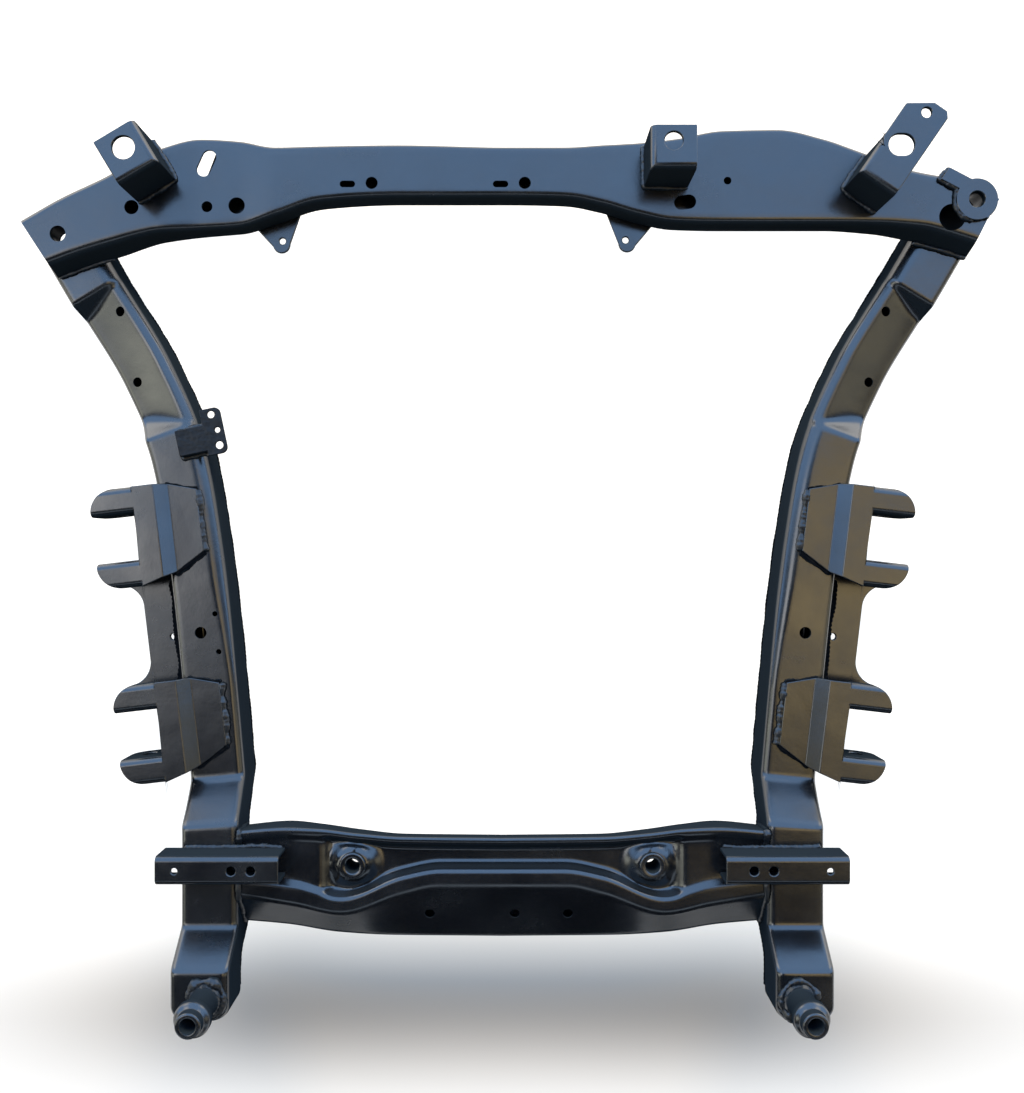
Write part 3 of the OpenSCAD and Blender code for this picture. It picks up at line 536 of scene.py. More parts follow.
def rail_rows(s, inset):
    """Stations along a rail: close together round the front corners, and every 2 mm behind them."""
    r = mm(s.end_radius)
    share = 1 - np.cos(np.linspace(0.32, np.pi / 2, 12))
    corner = RAIL_FRONT + inset + share * (r - inset)
    return np.concatenate([corner, np.arange(RAIL_FRONT + r + 2, RAIL_REAR, 2), [RAIL_REAR]])


def rail_half(y, s, inset):
    """Half width at y, drawn in round the front corners, for a wall that lies inset from the side."""
    r = mm(s.end_radius)
    half = mm(s.width) / 2
    back = np.maximum(r - (y - RAIL_FRONT), 0)
    round_part = half - r + np.sqrt(np.maximum((r - inset) ** 2 - back ** 2, 0))
    return np.where(back > 0, round_part, half - inset)


def along_rail(y, section):
    """Carry a section of u, z points along the rail's middle line."""
    plan = beside_rail(y[:, None], section[..., 0])
    return np.concatenate([plan, section[..., 1:]], -1)


def rail_upper_grid(s):
    """Hat section: outer wall, small outer bend, top, shoulder, inner wall. In the recess the top tilts
    outwards, and its end walls slope evenly: a point sinks by the lesser of the tilt and the wall,
    blended by fifth powers."""
    y = rail_rows(s, 0)
    h, z = rail_half(y, s, 0), rail_top(y, s)
    foot = z - mm(s.height - s.tray_wall + s.lap)
    shrink = ramp((SHOULDER[0] - y) / SHOULDER[1])
    shoulder = mm(s.shoulder + (s.shoulder_front - s.shoulder) * shrink)

    def hat(depth):
        """The section with its outer top edge sunk by a depth."""
        corners = np.stack([
            np.stack([h, foot], -1), np.stack([h, z - depth], -1),
            np.stack([-h, z], -1), np.stack([-h, foot], -1),
        ], 1)
        return along_rail(y, carried_section(corners, cuts=[5, shoulder], counts=[7, 11], fills=[4, 14, 4]))

    whole, sunk = hat(0), hat(mm(s.recess))
    tilt = whole[..., 2] - sunk[..., 2]
    wall = np.maximum(rail_recess(y, s), 1e-3)[:, None]
    share = (1 + (np.maximum(tilt, 1e-3) / wall) ** 5) ** -0.2
    return whole + (sunk - whole) * share[..., None]


def rail_lower_grid(s, nest):
    """Tray: two low walls and a floor with rounded edges, nested inside the upper pressing."""
    y = rail_rows(s, nest)
    h, z = rail_half(y, s, nest), rail_top(y, s) - mm(s.height)
    wall = z + mm(s.tray_wall)
    corners = np.stack([
        np.stack([-h, wall], -1), np.stack([-h, z], -1), np.stack([h, z], -1), np.stack([h, wall], -1),
    ], 1)
    return along_rail(y, carried_section(corners, cuts=[8, 8], counts=[7, 7], fills=[2, 6, 2]))


class SUBFRAME_OT_rails(bpy.types.Operator):
    """Build the upper and lower pressings of both rails"""

    bl_idname = "subframe.rails"
    bl_label = "Rails"

    def execute(self, context):
        s, sheet = context.scene.subframe_rail, context.scene.subframe_sheet
        t = mm(sheet.sheet)
        shapes = {
            "upper": sheet_of(rail_upper_grid(s), t),
            "lower": sheet_of(rail_lower_grid(s, t + 2 * mm(sheet.gap)), t),
        }
        for side, sign in SIDES:
            outlines = []
            for y, u, d in RAIL_HOLES + (RAIL_HOLES_LEFT if side == "left" else []):
                x, at_y = beside_rail(np.float64(y), u)
                outlines.append(hole_outline(sign * x, at_y, d))
            access = [hole_outline(*MOUNTS["left"], ACCESS_HOLE)] if side == "left" else []
            for name, shape in shapes.items():
                points, quads = shape if side == "right" else mirrored(*shape)
                mesh = new_mesh(f"rail_{name}_{side}_pressing", points, quads)
                piece = add_piece(mesh, painted("black_chassis_paint"), [f"rail_{name}_{side}"])
                shade(mesh)
                cuts = access + (outlines if name == "upper" else [])
                if cuts:
                    pierce(piece, cuts, *RAIL_CUT)
        return {"FINISHED"}


# Rear beam


def beam_walls(s, b, z):
    """Points on the outer faces of the rear beam's front and rear walls at the height z, at the rows s."""
    k = np.arange(len(BEAM_PLAN))
    value = [through(np.column_stack([k, BEAM_PLAN[:, c]]), s) for c in range(6)]
    z0, z1 = beam_levels(b)
    lean = value[4] * (z1 - z) / (z1 - z0)
    front = np.stack([value[2], value[3] - lean, np.broadcast_to(z, s.shape)], -1)
    rear = np.stack([value[0], value[1], np.broadcast_to(z, s.shape)], -1)
    return front, rear, value[4], value[5]


def beam_levels(b):
    """Underside and top of the rear beam, which lies on the rails with a weld gap."""
    z0 = mm(bpy.context.scene.subframe_rail.height + bpy.context.scene.subframe_sheet.gap)
    return z0, z0 + mm(b.depth)


def beam_rows():
    """Twelve rows to each pair of the plan's points."""
    return np.linspace(0, len(BEAM_PLAN) - 1, 12 * (len(BEAM_PLAN) - 1) + 1)


def beam_upper_grid(b, t):
    """Cap of the rear beam: leaning front wall, bend, flat top, bend, rear wall."""
    s = beam_rows()
    z0, z1 = beam_levels(b)
    _, _, lean, drop = beam_walls(s, b, z0)
    foot = z0 + t * lean / np.hypot(lean, z1 - z0)
    corners = np.stack([
        beam_walls(s, b, foot)[0], beam_walls(s, b, z1 - drop)[0],
        beam_walls(s, b, z1 - drop)[1], beam_walls(s, b, z0)[1],
    ], 1)
    cut = mm(b.bend)
    return carried_section(corners, cuts=[cut, cut], counts=[8, 8], fills=[3, 14, 3])


def beam_lower_grid(b, nest):
    """Closing tray of the rear beam, a nest inside the cap's walls."""
    s = beam_rows()
    z0, z1 = beam_levels(b)

    def inside(z, which, way):
        """Points a nest inside a wall at the height z, square to its run in plan and to its lean."""
        before = beam_walls(np.maximum(s - 0.5, 0), b, z)[which]
        after = beam_walls(np.minimum(s + 0.5, s[-1]), b, z)[which]
        run = unit((after - before)[:, :2])
        out = way * np.column_stack([run[:, 1], -run[:, 0], np.zeros(len(s))])
        at = beam_walls(s, b, z)
        scale = np.hypot(at[2], z1 - z0) / (z1 - z0) if which == 0 else np.ones(len(s))
        return at[which] - nest * scale[:, None] * out

    high = z0 + mm(b.flange)
    corners = np.stack([inside(high, 1, -1), inside(z0, 1, -1), inside(z0, 0, 1), inside(high, 0, 1)], 1)
    return carried_section(corners, cuts=[4, 4], counts=[5, 5], fills=[1, 8, 1])


class SUBFRAME_OT_rear_beam(bpy.types.Operator):
    """Build the cap and the tray of the rear crossmember and the sleeves inside it"""

    bl_idname = "subframe.rear_beam"
    bl_label = "Rear beam"

    def execute(self, context):
        b, sheet = context.scene.subframe_beam, context.scene.subframe_sheet
        paint = painted("black_chassis_paint")
        t, gap = mm(sheet.sheet), mm(sheet.gap)
        z0, z1 = beam_levels(b)
        mesh = new_mesh("rear_beam_cap", *sheet_of(beam_upper_grid(b, t), t))
        cap = add_piece(mesh, paint, ["rear_beam_upper"])
        holes = [hole_outline(*hole) for hole in BEAM_HOLES] + [slot_outline(*slot) for slot in BEAM_SLOTS]
        pierce(cap, holes, z1 - CAP_CUT[0], z1 + CAP_CUT[1])
        mesh = new_mesh("rear_beam_tray", *sheet_of(beam_lower_grid(b, t + 2 * gap), t))
        tray = add_piece(mesh, paint, ["rear_beam_lower"])
        mounts = [hole_outline(*at, MOUNT_BORE) for at in MOUNTS.values()]
        pierce(tray, mounts + [slot_outline(*BEAM_NOTCH)], z0 - TRAY_CUT[0], z0 + TRAY_CUT[1])
        low, high = z0 + t + gap, z1 - t - gap
        inner, outer = SLEEVE
        wall = np.array([(inner, low), (outer, low), (outer, high), (inner, high)])
        points, quads = turned(wall, TUBE_STEPS)
        for side, at in MOUNTS.items():
            tube = new_mesh(f"rear_sleeve_{side}_tube", points + (*at, 0), quads)
            add_piece(tube, bare_tube(), [f"rear_sleeve_{side}"])
            shade(tube)
        return {"FINISHED"}


# Front beam


def front_levels(b):
    """Underside and crest of the front beam, level with the rails' first step."""
    r = bpy.context.scene.subframe_rail
    z1 = mm(r.height + r.rise)
    return z1 - mm(b.front_depth), z1


def front_rows():
    """Stations across the front beam, between the rails' inner walls."""
    scene = bpy.context.scene
    wall = rail_x(np.float64(RADIATOR_Y)) - mm(scene.subframe_rail.width) / 2
    end = wall - mm(scene.subframe_sheet.gap)
    return np.linspace(-end, end, 201)


def front_wall(x, b, z):
    """Leaning rear wall of the front beam at the height z."""
    z0, z1 = front_levels(b)
    foot, ridge = through(FRONT_FOOT, abs(x)), through(FRONT_RIDGE, abs(x))
    return np.stack([x, foot + (ridge - foot) * (z - z0) / (z1 - z0), np.full(x.shape, z)], -1)


def front_lip(x, z):
    """Front lip of the front beam at the height z."""
    return np.stack([x, through(FRONT_LIP, abs(x)), np.broadcast_to(z, x.shape)], -1)


def front_upper_grid(b):
    """Ribbed cap: lip, sloping front face, crest, valley, rear ridge and rear wall, with a dome pressed
    up round each bush seat: the higher of the section and a blunt cone, blended by a parabola where they
    meet."""
    x = front_rows()
    d = abs(x)
    z0, z1 = front_levels(b)
    ridge = through(FRONT_RIDGE, d)
    floor = z1 - mm(b.valley) * through(VALLEY_SHARE, d)
    top = np.full(x.shape, z1)
    corners = np.stack([
        front_lip(x, z0), front_lip(x, z0 + mm(b.lip)),
        np.stack([x, through(FRONT_CREST, d), top], -1), np.stack([x, through(VALLEY_FRONT, d), top], -1),
        np.stack([x, through(VALLEY_FRONT, d) + VALLEY_WALL, floor], -1),
        np.stack([x, ridge - RIDGE_TOP - VALLEY_WALL, floor], -1),
        np.stack([x, ridge - RIDGE_TOP, top], -1), np.stack([x, ridge, top], -1),
        front_wall(x, b, z0),
    ], 1)
    grid = carried_section(
        corners, cuts=[4, 4, 3, 3, 3, 2.5, 3], counts=[6, 8, 7, 5, 5, 6, 6], fills=[2, 14, 4, 2, 8, 1, 1, 4])
    z = grid[..., 2]
    away = np.hypot(abs(grid[..., 0]) - SEAT[0], grid[..., 1] - SEAT[1])
    dome = z1 - 1 - np.maximum(away - DOME_FLAT, 0) * DOME_FALL
    blend = np.clip(0.5 + (dome - z) / (2 * DOME_BLEND), 0, 1)
    raised = z * (1 - blend) + dome * blend + DOME_BLEND * blend * (1 - blend)
    near = (away < DOME_REACH) & (z > z1 - DOME_DEPTH)
    grid[..., 2] = np.where(near, np.minimum(np.maximum(raised, z), z1 + 0.2), z)
    return grid


def front_lower_grid(b, nest):
    """Closing tray of the front beam, a nest inside the cap's lip and rear wall."""
    x = front_rows()
    z0 = front_levels(b)[0]

    def inside(wall, way):
        """Points a nest inside a wall, square to its run in plan."""
        run = unit(np.gradient(wall[:, :2], axis=0))
        moved = wall - nest * way * np.column_stack([run[:, 1], -run[:, 0], np.zeros(len(x))])
        moved[:, 0] = x
        return moved

    corners = np.stack([
        inside(front_wall(x, b, z0 + mm(b.flange)), -1), inside(front_wall(x, b, z0), -1),
        inside(front_lip(x, z0), 1), inside(front_lip(x, z0 + mm(b.lip) / 2), 1),
    ], 1)
    return carried_section(corners, cuts=[4, 4], counts=[5, 5], fills=[1, 12, 1])


class SUBFRAME_OT_front_beam(bpy.types.Operator):
    """Build the ribbed cap and the tray of the front crossmember and its two bush seats"""

    bl_idname = "subframe.front_beam"
    bl_label = "Front beam"

    def execute(self, context):
        b, sheet = context.scene.subframe_beam, context.scene.subframe_sheet
        paint = painted("black_chassis_paint")
        t, gap = mm(sheet.sheet), mm(sheet.gap)
        z0, z1 = front_levels(b)
        places = {side: (sign * SEAT[0], SEAT[1]) for side, sign in SIDES}
        mesh = new_mesh("front_beam_cap", *sheet_of(front_upper_grid(b), t))
        cap = add_piece(mesh, paint, ["front_beam_upper"])
        holes = [hole_outline(*hole) for hole in FACE_HOLES]
        seats = [hole_outline(*at, SEAT_HOLE) for at in places.values()]
        pierce(cap, holes + seats, z0 + t + FACE_CUT[0], z1 + FACE_CUT[1])
        mesh = new_mesh("front_beam_tray", *sheet_of(front_lower_grid(b, t + 2 * gap), t))
        tray = add_piece(mesh, paint, ["front_beam_lower"])
        bores = [hole_outline(*at, SEAT_BORE) for at in places.values()]
        pierce(tray, bores, z0 - SEAT_CUT[0], z0 + SEAT_CUT[1])
        points, quads = turned(self.seat_profile(z0 + t + gap, z1), TURNED_STEPS)
        for side, at in places.items():
            seat = new_mesh(f"front_seat_{side}", points + (*at, 0), quads)
            add_piece(seat, paint, [f"front_boss_{side}"])
            shade(seat)
        return {"FINISHED"}

    def seat_profile(self, low, crest):
        """Radius and height round a bush seat's wall: out at the foot, up, over the round brim and into
        the bore."""
        bore, top = SEAT_BORE / 2, crest + SEAT_RISE
        a = np.linspace(0, np.pi / 2, 9)
        brim = np.column_stack([
            SEAT_RADIUS - SEAT_EDGE + SEAT_EDGE * np.sin(a), top - SEAT_EDGE + SEAT_EDGE * np.cos(a),
        ])
        mouth = [(bore, top - 1.6), (bore + 0.45, top - 0.5), (bore + 1.35, top)]
        foot = [(SEAT_RADIUS, crest - 6), (SEAT_RADIUS, low), (bore, low)]
        return np.concatenate([mouth, brim, foot])[::-1]


class SUBFRAME_OT_brackets(bpy.types.Operator):
    """Round the edges of all the bracket plates"""

    bl_idname = "subframe.brackets"
    bl_label = "Brackets"

    def execute(self, context):
        for node in PLATE_NODES:
            finish = "thin_paint_on_bracket" if node == "line_bracket" else "black_chassis_paint"
            plate_copy(node, painted(finish), context.scene.subframe_sheet.edge)
        return {"FINISHED"}


class SUBFRAME_OT_pins(bpy.types.Operator):
    """Build the two hollow front pins"""

    bl_idname = "subframe.pins"
    bl_label = "Front pins"

    def execute(self, context):
        r = context.scene.subframe_rail
        z = mm(r.height + r.rise + r.rise_front + context.scene.subframe_sheet.gap)
        a = np.linspace(0, np.pi / 2, 6)
        radius, height, edge = PIN_CROWN
        crown = np.column_stack([radius + edge * np.sin(a), height + edge * np.cos(a)])
        points, quads = turned(np.concatenate([PIN_OUTSIDE, crown[::-1], PIN_MOUTH]), TURNED_STEPS)
        for side, sign in SIDES:
            pin = new_mesh(f"front_pin_{side}_turned", points + (sign * PIN[0], PIN[1], z), quads)
            add_piece(pin, painted("black_chassis_paint"), [f"front_pin_{side}"])
            shade(pin)
        return {"FINISHED"}


# Welds


def arm_point(x, y):
    """Plan point in the frame of the control arms' pivot line."""
    c, s = np.cos(ARM_LEAN), np.sin(ARM_LEAN)
    return ARM_AXIS[0] + x * c + y * s, ARM_AXIS[1] - x * s + y * c


def placed(points, at, degrees):
    """Plan points of a bracket's own frame, turned by degrees and moved to at."""
    a = np.radians(degrees)
    x, y = np.asarray(points, float).T
    return np.column_stack([at[0] + x * np.cos(a) - y * np.sin(a), at[1] + x * np.sin(a) + y * np.cos(a)])


def level(points, z):
    """Plan points at one height."""
    p = np.asarray(points, float)
    return np.column_stack([p, np.full(len(p), z)])


def rough(n, width, rng):
    """Seeded noise smoothed over width samples, of unit spread."""
    kernel = np.hanning(width + 2)[1:-1]
    noise = np.convolve(rng.standard_normal(n + width), kernel, mode="same")[:n]
    return noise / max(noise.std(), 1e-9)


def bead(path, radius, ripple, seed, lumps):
    """Weld bead: rings of points, a fifth lower than wide, across a path cut into steps of 0.3 ripples.
    The radius swells with the ripples, a rectified sine, and with smoothed noise, and closes at the ends
    as a half circle does. The line itself wanders by smoothed noise of an eighth of the radius."""
    rng = np.random.default_rng(seed)
    path = np.asarray(path, float)
    run = np.concatenate([[0], np.cumsum(np.linalg.norm(np.diff(path, axis=0), axis=1))])
    n = max(int(run[-1] / (0.3 * ripple)), 8)
    at = np.linspace(0, run[-1], n)
    line = np.column_stack([np.interp(at, run, path[:, k]) for k in range(3)])
    for _ in range(3):
        line[1:-1] = 0.25 * line[:-2] + 0.5 * line[1:-1] + 0.25 * line[2:]
    along = unit(np.gradient(line, axis=0))
    flat = np.column_stack([-along[:, 1], along[:, 0], np.zeros(n)])
    steep = np.linalg.norm(flat, axis=1) < 0.3
    flat[steep] = (0, 1, 0)
    side = unit(flat)
    up = np.cross(along, side)
    end = np.minimum(at, run[-1] - at) / radius
    taper = np.sqrt(np.clip(1 - (1 - np.clip(end, 0, 1)) ** 2, 0.02, 1))
    size = radius * taper * (0.9 + 0.22 * abs(np.sin(np.pi * at / ripple)) + lumps * rough(n, 9, rng))
    size = np.maximum(size, 0.6 * radius * taper)
    line = line + side * (0.12 * radius * rough(n, 25, rng))[:, None]
    angle = np.linspace(0, 2 * np.pi, RING, endpoint=False)
    ring = np.cos(angle)[None, :, None] * side[:, None] + 0.8 * np.sin(angle)[None, :, None] * up[:, None]
    points = (line[:, None] + size[:, None, None] * ring).reshape(-1, 3)
    i = np.arange(n * RING).reshape(n, RING)
    j = np.roll(i, -1, axis=1)
    quads = np.stack([i[:-1], i[1:], j[1:], j[:-1]], -1).reshape(-1, 4)
    # Each end is closed by strips from one half of its ring across to the other
    k, middle = np.arange(RING), RING // 2
    start = np.stack([k[:middle - 1], k[1:middle], k[-2:middle - 1:-1], k[:middle:-1]], -1)
    return points, np.concatenate([quads, start, (n - 1) * RING + start[:, ::-1]])[:, ::-1]


class SUBFRAME_OT_welds(bpy.types.Operator):
    """Lay the weld beads between the pieces"""

    bl_idname = "subframe.welds"
    bl_label = "Welds"

    def execute(self, context):
        scene = context.scene
        w, r, b = scene.subframe_weld, scene.subframe_rail, scene.subframe_beam
        heavy, seam, ripple = mm(w.bead), mm(w.seam), mm(w.ripple)
        half = mm(r.width) / 2
        top_0 = mm(r.height)
        top_1 = top_0 + mm(r.rise)
        top_2 = top_1 + mm(r.rise_front)
        z0, z1 = beam_levels(b)
        seeds = iter(range(100, 400))

        def run(path, radius, lumps=LUMPS):
            """One run with ripples of its own."""
            return bead(path, radius, ripple, next(seeds), lumps)

        def both(path, radius, lumps=LUMPS):
            """The same run on both sides, each with its own ripples."""
            path = np.asarray(path, float)
            return [run(path * (sign, 1, 1), radius, lumps) for _, sign in SIDES]

        arms, edges = [], []
        for along in ARM_ALONG:
            line = level([arm_point(x, y + along) for x, y in ARM_FOOT], top_0 + BEAD_RISE["arm"])
            arms += both(line[1:3], heavy, 0.2)
            edges += both(line[:2], heavy * 0.6, 0.2)
            edges += both(line[2:], heavy * 0.6, 0.25)
        # The web's fillet bead is dull and black: partly a weld, partly painted shade in the gap beside the
        # rail
        y = np.linspace(*WEB_SEAM, 40)
        edges += both(level(beside_rail(y, half + 3.4), top_0 + BEAD_RISE["web"]), mm(w.fillet), 0.02)
        for y0 in WEB_END_Y:
            ends = [arm_point(x0, y0) for x0 in WEB_END_X]
            edges += both(level(ends, top_0 + BEAD_RISE["web_end"]), seam)
        self.lay("welds_arm_brackets", arms, "black_paint_on_weld")
        self.lay("welds_arm_edges", edges, "dull_seam_paint_and_painted_shade")

        rails = []
        y = np.linspace(RAIL_FRONT + 14, RAIL_REAR - 4, 360)
        foot = rail_top(y, r) - mm(r.height - r.tray_wall + r.lap)
        for u in (-half + 0.6, half - 0.6):
            rails += both(np.column_stack([beside_rail(y, u), foot - 0.6]), seam * 0.85, 0.08)
        self.lay("welds_rail_seams", rails, "dull_seam_paint_and_painted_shade")

        rear = []
        for rows in CAP_ENDS:
            front = beam_walls(np.linspace(*rows), b, z0)[0]
            rear.append(run(front + (0, -0.8, 1.2), seam * 1.2))
        for at, degrees, path in RACK_WELDS:
            rear.append(run(level(placed(path, at, degrees), z1 + BEAD_RISE["rack"]), heavy * 0.8, 0.2))
        arc = np.radians(np.linspace(*PLATE_ARC, 24))
        nose = MOUNTS["right"] + PLATE_NOSE * np.column_stack([np.cos(arc), np.sin(arc)])
        plate = np.concatenate([PLATE_WELD, nose])
        rear.append(run(level(plate, z1 + BEAD_RISE["plate"]), heavy * 0.75, 0.22))
        at, degrees, path = LINE_WELD
        rear.append(run(level(placed(path, at, degrees), top_0 + BEAD_RISE["line"]), heavy * 0.8, 0.2))
        self.lay("welds_rear", rear, "black_paint_on_weld")

        turn = np.linspace(0, 2 * np.pi, 60)
        ring = PIN + PIN_WELD * np.column_stack([np.cos(turn), np.sin(turn)])
        front = both(level(ring, top_2 + BEAD_RISE["pin"]), heavy * 1.15, 0.3)
        for y0 in (RADIATOR_Y - RADIATOR_HALF, RADIATOR_Y + RADIATOR_HALF):
            ends = [(RADIATOR_X + 2, y0), (RADIATOR_WELD_END, y0)]
            front += both(level(ends, top_1 + BEAD_RISE["radiator"]), heavy * 0.75)
        section = front_upper_grid(b)[-1]
        front += both(section + (-0.6, 0, 0.4), heavy * 0.8, 0.18)
        self.lay("welds_front", front, "black_paint_on_weld")
        return {"FINISHED"}

    def lay(self, name, beads, finish):
        """Put a group of beads into the scene as one piece."""
        mesh = new_mesh(name, *joined(beads))
        add_piece(mesh, painted(finish))
        shade(mesh, BEAD_CREASE)


# Finishes


def feed(tree, node, inputs):
    """Fill a node's inputs, by name or number: a node gives its first open output, a socket is linked, and
    anything else is the input's value."""
    for key, source in inputs.items():
        if isinstance(source, bpy.types.Node):
            source = next(out for out in source.outputs if out.enabled)
        if isinstance(source, bpy.types.NodeSocket):
            tree.links.new(source, node.inputs[key])
        else:
            node.inputs[key].default_value = source


def add_node(tree, kind, settings, inputs):
    """Add a node, set its properties and fill its inputs."""
    node = tree.nodes.new(kind)
    for name, value in settings.items():
        setattr(node, name, value)
    feed(tree, node, inputs)
    return node


def per_metre(millimetres):
    """Texture scale whose features are about this size."""
    return 1000 / millimetres


def paint_tree(name, smooth, dull, wave_mm, wave_strength, shine_most):
    """Oil-based chassis paint brushed and sprayed over pressed steel. The eye gets a deep black with a
    blue cast, a gloss broken by orange peel and long waves, duller patches, a little dust on faces
    that look up, and a lighter blue-grey on walls as painted sheen."""
    look = bpy.context.scene.subframe_look
    material = bpy.data.materials.new(name)
    material.use_nodes = True
    tree = material.node_tree
    place = add_node(tree, "ShaderNodeTexCoord", {}, {}).outputs["Object"]
    normal = add_node(tree, "ShaderNodeNewGeometry", {}, {}).outputs["Normal"]
    facing = add_node(tree, "ShaderNodeSeparateXYZ", {}, {"Vector": normal}).outputs
    patches = add_node(tree, "ShaderNodeTexNoise", {},
                       {"Vector": place, "Scale": per_metre(70), "Detail": 5.0, "Roughness": 0.6})
    tone = add_node(tree, "ShaderNodeMix", {"data_type": "RGBA"},
                    {"Factor": patches, "A": (*look.paint, 1), "B": (*look.paint_thin, 1)})
    # Walls and faces that look down to the front are dull, which stops them from mirroring the floor, and
    # they take the lighter wall colour instead: a painted sheen in place of that reflection
    upright = add_node(tree, "ShaderNodeMapRange", {},
                       {"Value": facing["Z"], "From Min": 0.6, "From Max": 0.3})
    ahead = add_node(tree, "ShaderNodeMapRange", {},
                     {"Value": facing["Y"], "From Min": -0.45, "From Max": -0.7})
    steep = add_node(tree, "ShaderNodeMath", {"operation": "MAXIMUM"}, {0: upright, 1: ahead})
    coat_with_painted_sheen = add_node(tree, "ShaderNodeMix", {"data_type": "RGBA"},
                    {"Factor": steep, "A": tone, "B": (*look.wall, 1)})
    shine = add_node(tree, "ShaderNodeMapRange", {}, {"Value": steep, "To Min": shine_most, "To Max": 0.0})
    # Dust lies in specks on what faces up
    specks = add_node(tree, "ShaderNodeTexNoise", {}, {"Vector": place, "Scale": per_metre(4), "Detail": 3.0})
    lying = add_node(tree, "ShaderNodeMapRange", {}, {"Value": facing["Z"], "From Min": 0.5, "To Max": 0.035})
    grit = add_node(tree, "ShaderNodeMapRange", {}, {"Value": specks, "From Min": 0.45, "From Max": 0.75})
    dusty = add_node(tree, "ShaderNodeMath", {"operation": "MULTIPLY"}, {0: lying, 1: grit})
    body = add_node(tree, "ShaderNodeMix", {"data_type": "RGBA"},
                    {"Factor": dusty, "A": coat_with_painted_sheen, "B": (*look.dust, 1)})
    gloss = add_node(tree, "ShaderNodeMapRange", {},
                     {"Value": patches, "From Min": 0.3, "From Max": 0.7, "To Min": smooth, "To Max": dull})
    # Orange peel is about 1 mm across; it is drawn at 3 mm so that it shows
    peel = add_node(tree, "ShaderNodeTexNoise", {}, {"Vector": place, "Scale": per_metre(3), "Detail": 2.0})
    waves = add_node(tree, "ShaderNodeTexNoise", {},
                     {"Vector": place, "Scale": per_metre(wave_mm), "Detail": 2.0})
    fine = add_node(tree, "ShaderNodeBump", {}, {"Height": peel, "Strength": 0.06, "Distance": 0.0006})
    long = add_node(tree, "ShaderNodeBump", {},
                    {"Height": waves, "Normal": fine, "Strength": wave_strength, "Distance": 0.004})
    feed(tree, tree.nodes["Principled BSDF"], {
        "Base Color": body, "Roughness": gloss, "Normal": long, "Specular IOR Level": shine, "IOR": 1.6,
    })
    return material


def painted(name):
    """The paint of that name, made when it is first asked for."""
    return bpy.data.materials.get(name) or paint_tree(name, *PAINTS[name])


def bare_tube():
    """Cold drawn steel tube: a dull grey metal, finely mottled."""
    material = bpy.data.materials.get("drawn_steel_tube")
    if material:
        return material
    material = bpy.data.materials.new("drawn_steel_tube")
    material.use_nodes = True
    tree = material.node_tree
    place = add_node(tree, "ShaderNodeTexCoord", {}, {}).outputs["Object"]
    mottle = add_node(tree, "ShaderNodeTexNoise", {}, {"Vector": place, "Scale": per_metre(2), "Detail": 3.0})
    gloss = add_node(tree, "ShaderNodeMapRange", {}, {"Value": mottle, "To Min": 0.35, "To Max": 0.55})
    steel = (*bpy.context.scene.subframe_look.steel, 1)
    feed(tree, tree.nodes["Principled BSDF"], {"Base Color": steel, "Metallic": 1.0, "Roughness": gloss})
    return material


# Stage


